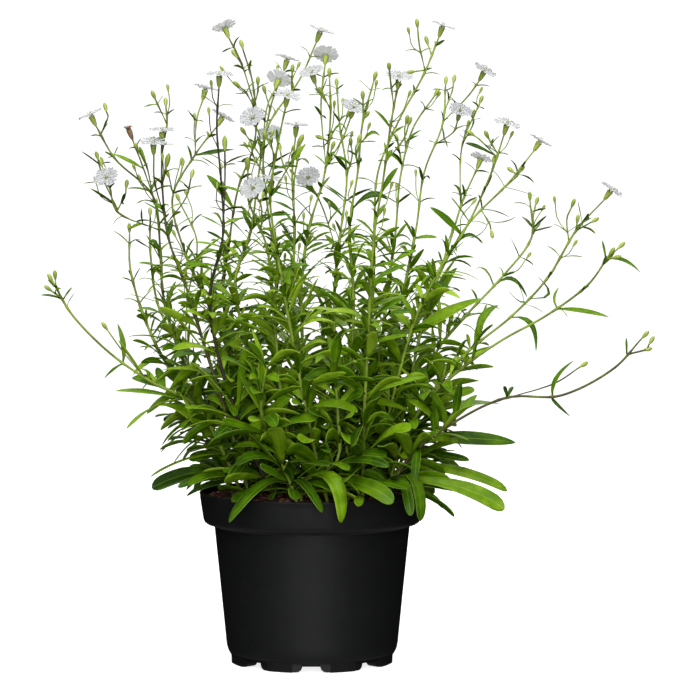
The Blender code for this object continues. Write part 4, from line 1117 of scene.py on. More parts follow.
def make_bract(root, along, turn, rng):
    """A narrow leaf that leaves its stalk at a turn round it and curves away."""
    side = along.orthogonal().normalized()
    out = around(side, along.cross(side), turn)
    low = root.z < BRACT_BROAD
    size = rng.uniform(8, 19) if low else rng.uniform(5, 11)
    bend = root + (along * rng.uniform(0.3, 0.9) + out * 0.7).normalized() * size * 0.55
    tip = bend + (along * rng.uniform(-0.5, 0.5) + out).normalized() * size * 0.5
    return {"curve": (root, bend, tip), "side": along.cross(out).normalized(),
            "width": rng.uniform(1.5, 3) if low else rng.uniform(1, 2), "peak": 0.38}


def late_bud(root, along, turn, rng):
    """A short thin stalk with a small bud, or a pair of them close together."""
    side = along.orthogonal().normalized()
    out = around(side, along.cross(side), turn)
    length = rng.uniform(9, 20)
    middle = root + (along + out * 0.7).normalized() * length * 0.5
    tip = middle + (along * 1.6 + out * rng.uniform(-0.2, 0.4)).normalized() * length * 0.5
    aim = (tip - middle).normalized()
    points = [root, middle, tip, tip + aim * 1.4, tip + aim * 3, tip + aim * 4.4]
    return {"points": points, "radii": [0.3, 0.42, 0.42, 0.8, 1.0, 0.0], "corners": 3,
            "end": "bud", "bloom": None, "trunk": False}


def snap_to(paths, place):
    """The nearest point of the stem's finer paths to a place on its solid."""
    return min((p for path in paths for p in path), key=lambda p: (p - place).length_squared)


def radius_at(walked, lengths, radii):
    """The radius a way along a stalk, between the radii at the ends of its lengths."""
    for k, length in enumerate(lengths):
        if walked <= length or k == len(lengths) - 1:
            return radii[k] + (radii[k + 1] - radii[k]) * min(1, walked / length)
        walked -= length


def fine_strand(shape, strand, roots, darkness, rng):
    """A round stalk with swollen nodes where leaves and forks leave it, and its end."""
    end = strand["end"]
    body = stalk_body(strand)
    size = 0.85 * strand["radii"][-2] / BUD_RADIUS if end == "bud" else 1
    points = smooth_path(body, FINE_STEP)
    lengths = [(q - p).length for p, q in zip(body, body[1:])]
    slim = SLIM_TRUNK if strand["trunk"] else SLIM_SIDE
    radii = []
    for i, point in enumerate(points):
        radius = radius_at(sum(lengths) * i / (len(points) - 1), lengths, strand["radii"])
        near = min(((point - root).length for root in roots), default=99)
        radii.append(radius * slim + NODE_SWELL * math.exp(-(near / NODE_REACH) ** 2))
    if end in ("leaf", "leafy"):
        radii[-1] = 0.0
    round_stalk(shape, points, radii, 8 if strand["trunk"] else 6, darkness)
    tip = strand["points"][-1]
    neck = body[-1]
    axis = (tip - neck).normalized()
    if end == "bloom":
        fine_cup(shape, neck, axis, (tip - neck).length, rng)
    elif end in ("bud", "shut"):
        fine_bud(shape, neck, axis, (tip - neck).length, end, size, rng)
    elif end == "withered":
        spent_flower(shape, neck, axis, (tip - neck).length, rng)


def fine_cup(shape, neck, axis, length, rng):
    """A ribbed green cup that widens to five short teeth round the petals."""
    stations = ((-0.65, 0), (-0.6, 0.4), (0, 0.52), (0.6, 0.85), (1.4, 1.12), (2.6, 1.33),
                (4.0, 1.5), (5.2, 1.6), (length, 1.78), (length, 1.56), (length - 0.6, 1.2),
                (length - 0.7, 0))
    points = [neck + axis * out for out, _ in stations]
    radii = [radius for _, radius in stations]
    side = axis.orthogonal().normalized()
    across = axis.cross(side)

    def place(u, v):
        i = round(v * (len(points) - 1))
        turn = 2 * math.pi * u
        rib = 1 + 0.06 * math.cos(CUP_RIBS * turn) * (1 if 2 < i < 9 else 0)
        tooth = 0.28 * math.cos(5 * turn) if i in (8, 9) else 0
        return (points[i] + axis * min(tooth, 0.2)
                + around(side, across, turn) * radii[i] * rib)
    mesh_grid(shape, len(points) - 1, 30, place, rng.uniform(0.3, 0.8), CUP)


def fine_bud(shape, neck, axis, length, end, size, rng):
    """A ribbed pointed bud, with the petals' rolled tip showing where it is ready to open."""
    wide = BUD_RADIUS * size if end == "bud" else SHUT_RADIUS * 0.85
    profile = ((-0.08, 0.4), (0, 0.5), (0.12, 0.6 * wide), (0.28, 0.82 * wide),
               (0.46, 0.97 * wide), (0.64, wide), (0.8, 0.82 * wide), (0.91, 0.52 * wide),
               (0.98, 0.24 * wide), (1.0, 0))
    points = [neck + axis * (length * share) for share, _ in profile]
    radii = [radius for _, radius in profile]
    tone = rng.uniform(0.2, 0.9)
    round_stalk(shape, points, radii, 20, tone, CUP, CUP_RIBS, 0.05)
    if end == "shut":
        twist = [neck + axis * (length * share) for share in (0.7, 0.84, 0.96, 1.04)]
        round_stalk(shape, twist, [0.9, 0.75, 0.5, 0], 10, 0.5, ROLLED_PETAL, PETALS, 0.18)


def spent_flower(shape, neck, axis, length, rng):
    """A withered bloom: a dry cup with shrivelled petals that curl out of its mouth."""
    profile = ((-0.08, 0.4), (0, 0.5), (0.1, 0.9), (0.3, 1.3), (0.5, 1.5), (0.66, 1.55), (0.7, 1.3),
               (0.74, 0))
    points = [neck + axis * (length * share) for share, _ in profile]
    round_stalk(shape, points, [r for _, r in profile], 20, 0.9, WITHERED, CUP_RIBS, 0.06)
    side = axis.orthogonal().normalized()
    across = axis.cross(side)
    for petal in range(9):
        turn = 2 * math.pi * petal / 9 + rng.uniform(-0.2, 0.2)
        out = around(side, across, turn)
        foot = neck + axis * (length * 0.6) + out * 0.8
        middle = foot + axis * (length * 0.25) + out * 0.4
        tip = middle + out * rng.uniform(0.8, 2.4) + axis * rng.uniform(-0.6, 1.2)
        round_stalk(shape, [foot, middle, (middle + tip) / 2 + axis * 0.3, tip],
                    [0.3, 0.5, 0.35, 0], 5, rng.random(), WITHERED)


def fine_stem(name, growth, materials):
    """One leafy stem as a single piece."""
    rng = random.Random(name + " fine")
    shape = new_shape()
    darkness = DARK_STEMS.get(name, OTHER_STEMS_DARK)
    paths = [smooth_path(stalk_body(strand), 1.0) for strand in growth["strands"]]
    roots = []
    for leaf in growth["leaves"]:
        root, bend, tip = leaf["curve"]
        spot = snap_to(paths, root)
        leaf["curve"] = (spot, bend + (spot - root) * 0.5, tip)
        roots.append(spot)
    for number, strand in enumerate(growth["strands"]):
        if not strand["trunk"]:
            spot = snap_to(paths[:number], strand["points"][0])
            strand["points"] = [spot] + strand["points"][1:]
            roots.append(spot)
    for strand in growth["strands"]:
        fine_strand(shape, strand, roots, darkness, rng)
    for leaf in growth["leaves"]:
        root = leaf["curve"][0]
        tone = 0.3 + 0.4 * min(1, max(0, (root.z - 95) / 120)) + rng.uniform(-0.34, 0.34)
        tone -= 0.45 * min(1, max(0, (root.z - 215) / 50))
        if math.hypot(root.x, root.y) > OPEN_REACH:
            leaf["width"] *= OPEN_SLIM
            tone -= OPEN_DARK
        fine_leaf(shape, leaf, min(1, max(0, tone)), rng)
    return finish_piece(name.replace("stem", "leafy_stem"), shape, materials, name)


def fine_petal(shape, bloom, petal, side, across, rng):
    """One notched, crinkled petal with painted shade above and painted light below, and two scales at
    its throat.
    """
    axis, centre = bloom["axis"], bloom["place"]
    _, reach, lift = bloom["outline"][6 * petal + 2]
    middle = 2 * math.pi * petal / PETALS
    far = math.hypot(reach, lift)
    tilt = rng.uniform(-0.25, 0.25)
    phase = rng.uniform(0, 6)
    along, wide = around(side, across, middle), around(side, across, middle + math.pi / 2)

    def place(u, v):
        s = 2 * u - 1
        teeth = 0.24 * math.exp(-(s / 0.13) ** 2)
        teeth += 0.11 * math.exp(-((abs(s) - 0.52) / 0.1) ** 2) + 0.03 * math.sin(17 * s + phase)
        end = far * (1.02 - teeth - 0.2 * abs(s) ** 3)
        r = 0.6 + (end - 0.6) * v
        share = min(1, r / far)
        half = 0.5 + 3.3 * min(1, share / 0.75) ** 1.1
        rise = lift * share ** 1.3 + 0.5 * share * s * s - 1.5 * max(0, 1 - r / 2.2) ** 1.5
        rise += (0.3 * math.sin(5 * s + phase) + 0.22 * math.sin(9 * s + 3 * share)) * share
        rise += tilt * s * share + 0.25 * share * math.sin(6 * share + phase)
        flat = math.sqrt(max(0.3, r * r - (lift * share ** 1.3) ** 2))
        return centre + along * flat + wide * (half * s) + axis * (rise + 0.1 * (petal % 2))
    # The sheet is the underside, tone 1 for painted light; the new top side takes tone 0 for painted
    # shade
    thicken(shape, mesh_grid(shape, 8, 14, place, 1.0, PETAL), 0.14, 0.0)
    for fork in (-0.22, 0.22):
        foot = centre + along * 1.3 + wide * fork * 2 + axis * 0.05
        tip = foot + along * 0.5 + axis * 0.75 + wide * fork
        round_stalk(shape, [foot, (foot + tip) / 2 + axis * 0.1, tip], [0.22, 0.2, 0], 5, 0.9, PETAL)


def add_stamens(shape, centre, axis, side, across, rng):
    """Ten thin stamens of two lengths round the throat, each with its anther."""
    for k in range(2 * PETALS):
        out = around(side, across, 2 * math.pi * (k + 0.5) / 10)
        foot = centre + out * 0.45 - axis * 0.2
        top = centre + out * (1.0 + 0.35 * (k % 2)) + axis * rng.uniform(1.3, 2.2)
        bend = (foot + top) / 2 + axis * 0.3
        round_stalk(shape, [foot, bend, top], [0.08, 0.07, 0.06], 4, 0.5, ANTHER)
        ends = [top + axis * far for far in (-0.28, -0.1, 0.16, 0.3)]
        round_stalk(shape, ends, [0, 0.2, 0.18, 0], 6, 0.5, ANTHER)


def fine_corolla(name, node, bloom, materials):
    """Five toothed petals that overlap at the throat, with their stamens and small scales."""
    rng = random.Random(name)
    shape = new_shape()
    axis = bloom["axis"]
    side = axis.orthogonal().normalized()
    across = axis.cross(side)
    for petal in range(PETALS):
        fine_petal(shape, bloom, petal, side, across, rng)
    add_stamens(shape, bloom["place"], axis, side, across, rng)
    return finish_piece(name, shape, materials, node)


# The pot and its compost

def turned_piece(outline, segments):
    """Turn an open outline, from the axis out and back to the axis, into a closed shell."""
    shape = new_shape()
    corners = [shape.verts.new((r, 0, z)) for r, z in outline]
    edges = [shape.edges.new(pair) for pair in zip(corners, corners[1:])]
    bmesh.ops.spin(shape, geom=corners + edges, cent=(0, 0, 0), axis=(0, 0, 1),
                   angle=2 * math.pi, steps=segments, use_merge=True)
    bmesh.ops.remove_doubles(shape, verts=shape.verts, dist=0.001)
    bmesh.ops.recalc_face_normals(shape, faces=shape.faces)
    return shape


def pot_outline():
    """The pot's wall from the floor up the inside, over the rolled lip and down to the feet."""
    collar = RIM_HEIGHT - COLLAR_HEIGHT
    slope = (RIM_RADIUS - COLLAR_FOOT_RADIUS) / (RIM_HEIGHT - collar - 4)
    return (
        (0, FLOOR_TOP), (FOOT_RADIUS - 3.2, FLOOR_TOP), (FOOT_RADIUS - 2.4, FLOOR_TOP + 0.5),
        (BODY_FOOT_RADIUS - WALL - 0.5, FOOT_HEIGHT + 4.5),
        (BODY_TOP_RADIUS - WALL, collar - 0.6), (COLLAR_FOOT_RADIUS - WALL - 0.3, collar + 2.7),
        (COLLAR_FOOT_RADIUS - WALL, collar + 3.4),
        (RIM_RADIUS - WALL - 0.2, RIM_HEIGHT - 0.7), (RIM_RADIUS - WALL + 0.1, RIM_HEIGHT - 0.2),
        (RIM_RADIUS - 0.8, RIM_HEIGHT), (RIM_RADIUS - 0.35, RIM_HEIGHT - 0.08),
        (RIM_RADIUS - 0.06, RIM_HEIGHT - 0.4), (RIM_RADIUS, RIM_HEIGHT - 0.9),
        (RIM_RADIUS - 0.25, RIM_HEIGHT - 1.5), (RIM_RADIUS - 0.3 - slope, RIM_HEIGHT - 4),
        (COLLAR_FOOT_RADIUS + 0.1, collar + 4.4), (COLLAR_FOOT_RADIUS - 0.2, collar + 2.6),
        (COLLAR_FOOT_RADIUS - 0.8, collar + 1.3), (COLLAR_FOOT_RADIUS - 1.8, collar + 0.5),
        (COLLAR_FOOT_RADIUS - 3.2, collar + 0.2), (BODY_TOP_RADIUS + 0.9, collar - 0.2),
        (BODY_TOP_RADIUS, collar - 1.2), (BODY_FOOT_RADIUS + 0.65, FOOT_HEIGHT + 8),
        (BODY_FOOT_RADIUS + 0.45, FOOT_HEIGHT + 5.4), (BODY_FOOT_RADIUS + 0.1, FOOT_HEIGHT + 3.4),
        (BODY_FOOT_RADIUS - 0.3, FOOT_HEIGHT + 1.7), (BODY_FOOT_RADIUS - 0.8, FOOT_HEIGHT + 0.5),
        (BODY_FOOT_RADIUS - 1.0, FOOT_HEIGHT + 0.1), (FOOT_RADIUS + 0.4, FOOT_HEIGHT - 0.1),
        (FOOT_RADIUS + 0.1, FOOT_HEIGHT - 0.8), (FOOT_RADIUS, 0.9), (FOOT_RADIUS - 0.25, 0.3),
        (FOOT_RADIUS - 0.8, 0), (FOOT_RADIUS - FOOT_RING, 0),
        (FOOT_RADIUS - FOOT_RING - 0.4, FLOOR_UNDERSIDE), (0, FLOOR_UNDERSIDE))


def cut_notches(pot):
    """Cut the drain notches through the foot with one rounded cutter each."""
    cutters = bpy.data.collections.new("cutters")
    bpy.context.scene.collection.children.link(cutters)
    for k in range(NOTCHES):
        shape = bmesh.new()
        bmesh.ops.create_cube(shape, size=1)
        bmesh.ops.scale(shape, vec=(NOTCH_WIDTH, NOTCH_REACH * 2, NOTCH_HEIGHT * 2),
                        verts=shape.verts)
        upright = [e for e in shape.edges if abs(e.verts[0].co.y - e.verts[1].co.y) > 1
                   and e.verts[0].co.z > 0]
        bmesh.ops.bevel(shape, geom=upright, offset=1.6, offset_type='OFFSET', segments=4,
                        profile=0.5, affect='EDGES', material=-1)
        bmesh.ops.translate(shape, vec=(0, -FOOT_RADIUS, 0), verts=shape.verts)
        turn = Matrix.Rotation(2 * math.pi * k / NOTCHES, 3, 'Z')
        bmesh.ops.rotate(shape, cent=(0, 0, 0), matrix=turn, verts=shape.verts)
        bmesh.ops.scale(shape, vec=(MM, MM, MM), verts=shape.verts)
        mesh = bpy.data.meshes.new("cutter")
        shape.to_mesh(mesh)
        shape.free()
        cutters.objects.link(bpy.data.objects.new("cutter", mesh))
    cut = pot.modifiers.new("Notches", 'BOOLEAN')
    cut.operation = 'DIFFERENCE'
    cut.operand_type = 'COLLECTION'
    cut.collection = cutters
    cut.solver = 'MANIFOLD'
    depsgraph = bpy.context.evaluated_depsgraph_get()
    pot.data = bpy.data.meshes.new_from_object(pot.evaluated_get(depsgraph))
    pot.modifiers.clear()
    for cutter in list(cutters.objects):
        bpy.data.objects.remove(cutter)
    bpy.data.collections.remove(cutters)


def add_lugs(shape):
    """Two rounded lugs behind each notch, which join the ends of the foot ring to the floor."""
    for k in range(NOTCHES):
        for hand in (-1, 1):
            made = bmesh.ops.create_cube(shape, size=1)["verts"]
            bmesh.ops.scale(shape, vec=LUG, verts=made)
            edges = dict.fromkeys(e for v in made for e in v.link_edges)
            low = [e for e in edges if all(v.co.z < 0 and v.co.x * hand < 0 for v in e.verts)]
            bevelled = bmesh.ops.bevel(shape, geom=low, offset=LUG[2] * 0.75, offset_type='OFFSET',
                                       segments=6, profile=0.5, affect='EDGES', material=-1)
            made = list(dict.fromkeys([v for v in made if v.is_valid] + bevelled["verts"]))
            bmesh.ops.translate(shape, verts=made, vec=(
                hand * (NOTCH_WIDTH - LUG[0] + 0.4) / 2, LUG[1] / 2 - FOOT_RADIUS + 1.6,
                LUG[2] / 2 + 0.3))
            turn = Matrix.Rotation(2 * math.pi * k / NOTCHES, 3, 'Z')
            bmesh.ops.rotate(shape, cent=(0, 0, 0), matrix=turn, verts=made)


def soften(mesh, limit):
    """Smooth shading, but for edges that turn more than the limit in degrees."""
    shape = bmesh.new()
    shape.from_mesh(mesh)
    for face in shape.faces:
        face.smooth = True
    for edge in shape.edges:
        edge.smooth = len(edge.link_faces) == 2 and edge.calc_face_angle(0) < math.radians(limit)
    shape.to_mesh(mesh)
    shape.free()


def make_pot(plastic):
    """The pot, turned in one piece, with its notches cut and its lugs added."""
    pot = finish_piece("nursery_pot", turned_piece(pot_outline(), POT_SEGMENTS),
                       [plastic], "pot")
    cut_notches(pot)
    lugs = bmesh.new()
    lugs.from_mesh(pot.data)
    bmesh.ops.scale(lugs, vec=(1 / MM, 1 / MM, 1 / MM), verts=lugs.verts)
    add_lugs(lugs)
    bmesh.ops.scale(lugs, vec=(MM, MM, MM), verts=lugs.verts)
    lugs.to_mesh(pot.data)
    lugs.free()
    soften(pot.data, SHARP_EDGE)


def soil_height(x, y):
    """The compost's gently lumpy surface."""
    lumps = math.sin(0.16 * x + 1.0) * math.cos(0.13 * y) + 0.6 * math.sin(0.3 * x - 0.24 * y)
    return SOIL_TOP + SOIL_RELIEF * 0.6 * lumps


def crumb_heap(rng, spread):
    """A mesh of loose crumbs, bits of bark and grit that lie anywhere on the compost."""
    shape = new_shape()
    layer = shape.verts.layers.float["tone"]
    for _ in range(CRUMBS):
        reach = spread * math.sqrt(rng.random())
        turn = rng.uniform(0, 2 * math.pi)
        x, y = reach * math.cos(turn), reach * math.sin(turn)
        size = rng.choice(CRUMB_SIZES)
        made = bmesh.ops.create_icosphere(shape, subdivisions=1, radius=size)["verts"]
        bmesh.ops.rotate(shape, verts=made, cent=(0, 0, 0), matrix=Euler(
            [rng.uniform(0, 6) for _ in range(3)]).to_matrix())
        bmesh.ops.scale(shape, vec=(rng.uniform(0.7, 1.5), rng.uniform(0.6, 1.1),
                                    rng.uniform(0.5, 0.8)), verts=made)
        tone = rng.random()
        for vert in made:
            vert[layer] = tone
            vert.co *= rng.uniform(0.85, 1.15)
        bmesh.ops.translate(shape, vec=(x, y, soil_height(x, y) + 0.25 * size), verts=made)
    mesh = bpy.data.meshes.new("crumbs")
    shape.to_mesh(mesh)
    shape.free()
    return mesh


def make_soil(compost):
    """Compost that fills the pot, with a rough surface and loose crumbs, bits of bark and grit."""
    collar = RIM_HEIGHT - COLLAR_HEIGHT
    inner = RIM_RADIUS - WALL - 1.7
    outline = [(0, FLOOR_TOP + SOIL_GAP), (FOOT_RADIUS - 3.7, FLOOR_TOP + SOIL_GAP),
               (BODY_FOOT_RADIUS - WALL - 1.0, FOOT_HEIGHT + 5.1),
               (BODY_TOP_RADIUS - WALL - 0.5, collar - 0.6),
               (COLLAR_FOOT_RADIUS - WALL - 0.7, collar + 4.1), (inner, SOIL_TOP - 1)]
    outline += [(inner * (1 - k / SOIL_RINGS), SOIL_TOP) for k in range(SOIL_RINGS)]
    outline.append((0, SOIL_TOP))
    shape = turned_piece(outline, SOIL_SEGMENTS)
    layer = shape.verts.layers.float["tone"]
    for vert in shape.verts:
        vert[layer] = 0.4
        if vert.co.z > SOIL_TOP - 0.5:
            x, y = vert.co.x, vert.co.y
            vert.co.z = soil_height(x, y) + 0.7 * noise.noise(Vector((x, y, 0)) * 0.5)
    rng = random.Random(CRUMB_SEED)
    for _ in range(CRUMB_HEAPS):
        heap = crumb_heap(rng, inner - 0.8)
        shape.from_mesh(heap)
        bpy.data.meshes.remove(heap)
    for face in shape.faces:
        face.smooth = len(face.verts) == 4
    return finish_piece("compost_fill", shape, [compost], "soil")


# Materials

def linear(code):
    """An sRGB colour written as hex, in the linear values that shaders take."""
    parts = [int(code[k:k + 2], 16) / 255 for k in (0, 2, 4)]
    return [p / 12.92 if p <= 0.04045 else ((p + 0.055) / 1.055) ** 2.4 for p in parts] + [1.0]


def add(tree, kind, inputs=None, stops=(), **settings):
    """Add one node: an input given a socket is linked, any other is set, and stops fill a ramp."""
    made = tree.nodes.new("ShaderNode" + kind)
    for key, value in settings.items():
        setattr(made, key, value)
    for key, value in (inputs or {}).items():
        if isinstance(value, bpy.types.NodeSocket):
            tree.links.new(value, made.inputs[key])
        else:
            made.inputs[key].default_value = value
    for k, (place, code) in enumerate(stops):
        slot = made.color_ramp.elements[k] if k < 2 else made.color_ramp.elements.new(place)
        slot.position = place
        slot.color = linear(code)
    return made


def surface(name, roughness, ior=1.5):
    """A new material with its shader's even values set on its own sockets."""
    made = bpy.data.materials.new(name)
    made.use_nodes = True
    tree = made.node_tree
    shader = tree.nodes["Principled BSDF"]
    shader.inputs["Roughness"].default_value = roughness
    shader.inputs["IOR"].default_value = ior
    return made, tree, shader


def let_light_through(shader, weight, reach, spread):
    """Thin living tissue: light soaks a reach in millimetres into it and out on either side."""
    shader.inputs["Subsurface Weight"].default_value = weight
    shader.inputs["Subsurface Radius"].default_value = spread
    shader.inputs["Subsurface Scale"].default_value = reach * MM


def own_tone(tree):
    """The tone that a piece's own corners carry, from 0 to 1."""
    return add(tree, "Attribute", attribute_name="tone").outputs["Fac"]


def sheet_place(tree):
    """Where on its sheet a point is: across it and along it, each from 0 to 1."""
    return add(tree, "SeparateXYZ", {0: add(tree, "UVMap", uv_map="map").outputs[0]}).outputs


def maths(tree, operation, *values):
    """A value worked out from one or two others."""
    return add(tree, "Math", dict(enumerate(values)), operation=operation).outputs[0]


def shade(tree, value, change):
    """A value from 0 to 1 with a change added, kept from 0 to 1."""
    return add(tree, "Math", {0: value, 1: change}, operation='ADD', use_clamp=True).outputs[0]


def remap(tree, value, low, high, first, last):
    """From first to last while a value goes from low to high."""
    return add(tree, "MapRange", {0: value, 1: low, 2: high, 3: first, 4: last}).outputs[0]


def ramp(tree, share, *stops):
    """A colour by a share; the stops are its two ends first, then those between."""
    return add(tree, "ValToRGB", {0: share}, stops).outputs[0]


def mix(tree, share, first, second):
    """Mix two colours; either may be a hex code or a socket."""
    values = [linear(c) if isinstance(c, str) else c for c in (first, second)]
    return add(tree, "Mix", {0: share, 6: values[0], 7: values[1]}, data_type='RGBA').outputs[2]


def patches(tree, millimetres, detail=3.0):
    """Soft noise with features of a size in millimetres, on Object coordinates."""
    place = add(tree, "TexCoord").outputs["Object"]
    return add(tree, "TexNoise", {"Vector": place, "Scale": 1000 / millimetres,
                                  "Detail": detail}).outputs["Fac"]


def roughen(tree, shader, strength, depth, size, detail):
    """Fine relief of a depth and with features of a size, both in millimetres."""
    relief = add(tree, "Bump", {"Strength": strength, "Distance": depth * MM,
                                "Height": patches(tree, size, detail)})
    tree.links.new(relief.outputs[0], shader.inputs["Normal"])


def living_leaf():
    """Living leaf, smooth and a little waxy: light catches it in soft broad glints, and its
    midrib and rim are paler than the blade."""
    made, tree, shader = surface("living_leaf", 0.42, 1.4)
    mottle = remap(tree, patches(tree, 9), 0.35, 0.65, -0.15, 0.15)
    blade = ramp(tree, shade(tree, own_tone(tree), mottle),
                 (0, "264700"), (1, "98b82c"), (0.3, "436c00"), (0.65, "6b9204"))
    off = maths(tree, 'ABSOLUTE', maths(tree, 'SUBTRACT', sheet_place(tree)[0], 0.5))
    rib = remap(tree, off, 0.01, 0.05, 0.3, 0.0)
    rim = remap(tree, off, 0.425, 0.5, 0.0, 0.35)
    tree.links.new(mix(tree, maths(tree, 'MAXIMUM', rib, rim), blade, "a4c04e"),
                   shader.inputs["Base Color"])
    shader.inputs["Specular IOR Level"].default_value = 0.22
    let_light_through(shader, 0.3, 0.5, (0.9, 1.0, 0.5))
    roughen(tree, shader, 0.12, 0.2, 0.8, 2.0)
    return made


def young_stalk():
    """Green stalk, matt and finely downy, flushed purple-brown on the stems that stand in the
    light."""
    made, tree, shader = surface("young_stalk", 0.55, 1.4)
    blotch = remap(tree, patches(tree, 12), 0.35, 0.65, -0.2, 0.2)
    colour = ramp(tree, shade(tree, own_tone(tree), blotch),
                  (0, "93ad3c"), (1, "2e2420"), (0.3, "6c8028"), (0.6, "4d4728"))
    tree.links.new(colour, shader.inputs["Base Color"])
    return made


def flower_cup():
    """Ribbed papery cup: dull yellow-green between ten darker ribs."""
    made, tree, shader = surface("flower_cup", 0.5, 1.4)
    turns = maths(tree, 'MULTIPLY', sheet_place(tree)[0], 2 * math.pi * CUP_RIBS)
    rib = remap(tree, maths(tree, 'COSINE', turns), 0.2, 1.0, 0.0, 0.75)
    base = ramp(tree, own_tone(tree), (0, "8fa83a"), (1, "c2d468"))
    tree.links.new(mix(tree, rib, base, "5f7a22"), shader.inputs["Base Color"])
    return made


def white_petal():
    """Thin white petal, matt and silky: faint veins fan out and the throat is greenish. The top has
    painted shade and the underside painted light, for light that comes through and up from below."""
    made, tree, shader = surface("white_petal", 0.6, 1.35)
    across, along, _ = sheet_place(tree)
    lines = maths(tree, 'COSINE', maths(tree, 'MULTIPLY', across, 70.0))
    vein = remap(tree, lines, 0.3, 1.0, 0.0, 0.28)
    # Painted shade on the top (tone 0) and painted light on the underside (tone 1)
    face = mix(tree, vein, mix(tree, own_tone(tree), "bfc0c6", "eceaf4"), "a3a5ae")
    throat = remap(tree, along, 0.08, 0.26, 0.6, 0.0)
    tree.links.new(mix(tree, throat, face, "bcc890"), shader.inputs["Base Color"])
    let_light_through(shader, 1.0, 1.2, (1.0, 1.0, 1.0))
    return made


def pale_anther():
    """Pollen-dusted anthers, pale straw and quite matt."""
    made, tree, shader = surface("pale_anther", 0.8)
    tree.links.new(mix(tree, patches(tree, 0.5), "dfe3c0", "b8bd8a"), shader.inputs["Base Color"])
    return made


def withered_petal():
    """A spent bloom, dry and crumpled: dull browns without any gloss."""
    made, tree, shader = surface("withered_petal", 0.85)
    tree.links.new(mix(tree, patches(tree, 2), "b08f68", "4c3527"), shader.inputs["Base Color"])
    return made


def moulded_polypropylene():
    """Black polypropylene, injection moulded: an even satin skin that gives a soft upright glow
    where it faces the light, with dust and fine handling marks."""
    made, tree, shader = surface("moulded_polypropylene", 0.5, 1.45)
    shader.inputs["Specular IOR Level"].default_value = 0.37
    dust = remap(tree, patches(tree, 14, 6.0), 0.45, 0.8, 0.0, 0.5)
    tree.links.new(mix(tree, dust, "121313", "1a1b1b"), shader.inputs["Base Color"])
    tree.links.new(remap(tree, patches(tree, 5, 5.0), 0.3, 0.7, 0.5, 0.56),
                   shader.inputs["Roughness"])
    roughen(tree, shader, 0.1, 0.1, 0.7, 2.0)
    return made


def peat_compost():
    """Moist peat compost with bark: matt red-brown crumbs, each its own shade."""
    made, tree, shader = surface("peat_compost", 0.9)
    fine = remap(tree, patches(tree, 1.5, 4.0), 0.3, 0.7, -0.25, 0.25)
    colour = ramp(tree, shade(tree, own_tone(tree), fine),
                  (0, "241511"), (1, "b08673"), (0.35, "4a2a1f"), (0.7, "7a4a38"))
    tree.links.new(colour, shader.inputs["Base Color"])
    roughen(tree, shader, 0.7, 0.6, 1.0, 6.0)
    return made


def pale_paper():
    """The studio's seamless backdrop, a matt white paper."""
    made, _, shader = surface("pale_paper", 0.95)
    shader.inputs["Base Color"].default_value = linear("f7f7f7")
    shader.inputs["Emission Color"].default_value = (1, 1, 1, 1)
    shader.inputs["Emission Strength"].default_value = 0.8
    return made


# The studio

def make_stage():
    """A floor that curves up into a backdrop."""
    shape = bmesh.new()
    front = [shape.verts.new((x, STAGE_FRONT, -STAGE_DROP)) for x in (-STAGE_HALF, STAGE_HALF)]
    made = bmesh.ops.extrude_edge_only(shape, edges=[shape.edges.new(front)])["geom"]
    verts = [g for g in made if isinstance(g, bmesh.types.BMVert)]
    bmesh.ops.translate(shape, vec=(0, STAGE_BACK - STAGE_FRONT, 0), verts=verts)
    bmesh.ops.spin(shape, geom=[g for g in made if not isinstance(g, bmesh.types.BMFace)],
                   cent=(0, STAGE_BACK, STAGE_CURVE), axis=(1, 0, 0), angle=math.pi / 2, steps=24)
    mesh = bpy.data.meshes.new("backdrop")
    shape.to_mesh(mesh)
    shape.free()
    mesh.materials.append(pale_paper())
    for face in mesh.polygons:
        face.use_smooth = True
    obj = bpy.data.objects.new("backdrop", mesh)
    bpy.context.scene.collection.objects.link(obj)
    obj.visible_diffuse = False
    obj.visible_glossy = False


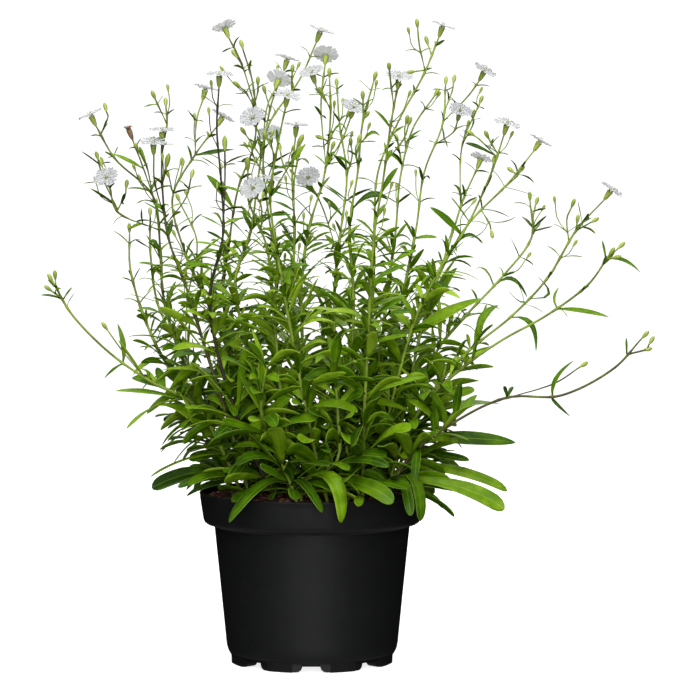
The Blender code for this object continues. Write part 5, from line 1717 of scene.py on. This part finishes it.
def area_light(name, place, aim, size, power):
    """A soft square light that faces what it aims at."""
    light = bpy.data.lights.new(name, 'AREA')
    light.size = size
    light.energy = power
    obj = bpy.data.objects.new(name, light)
    obj.location = place
    obj.rotation_euler = (Vector(aim) - Vector(place)).to_track_quat('-Z', 'Y').to_euler()
    bpy.context.scene.collection.objects.link(obj)


def light_and_camera():
    """Soft, bright, even light from above and in front, and the photograph's long lens."""
    world = bpy.data.worlds.new("studio")
    world.use_nodes = True
    tree = world.node_tree
    up = add(tree, "SeparateXYZ", {0: add(tree, "TexCoord").outputs["Generated"]}).outputs[2]
    sky = ramp(tree, remap(tree, up, -1.0, 1.0, 0.0, 1.0),
               (0, "bcbcbc"), (1, "c4c4c4"), (0.3, "0f0f0f"), (0.64, "0f0f0f"))
    tree.links.new(sky, tree.nodes["Background"].inputs["Color"])
    bpy.context.scene.world = world
    for name, place, size, power in LIGHTS:
        area_light(name, place, (VIEW_X * MM, 0, LIT_HEIGHT), size, power)
    camera = bpy.data.cameras.new("camera")
    camera.angle = 2 * math.atan(PHOTO_SPAN / 2 / VIEW_DISTANCE)
    obj = bpy.data.objects.new("camera", camera)
    aim = Vector((VIEW_X, 0, VIEW_AIM_Z)) * MM
    obj.location = aim + Vector((0, -1, math.tan(math.radians(VIEW_PITCH)))) * VIEW_DISTANCE * MM
    obj.rotation_euler = (aim - obj.location).to_track_quat('-Z', 'Y').to_euler()
    bpy.context.scene.collection.objects.link(obj)
    bpy.context.scene.camera = obj
    bpy.context.scene.view_settings.view_transform = 'Standard'


def make_plant():
    """Every stem and its open flowers, in the order and with the numbers of their solids."""
    plant, crowd = grow_plant()
    fill_in(plant, crowd)
    add_bracts(plant, crowd)
    leafy = [young_stalk(), living_leaf(), flower_cup(), white_petal(), withered_petal()]
    bloom = [white_petal(), pale_anther()]
    number = 0
    for name, growth in plant.items():
        blooms = [strand["bloom"] for strand in growth["strands"] if strand["bloom"]]
        fine_stem(name, growth, leafy)
        for one in blooms:
            number += 1
            fine_corolla(f"petals_{number:02d}", f"corolla_{number:02d}", one, bloom)


light_and_camera()
make_stage()
make_pot(moulded_polypropylene())
make_soil(peat_compost())
make_plant()
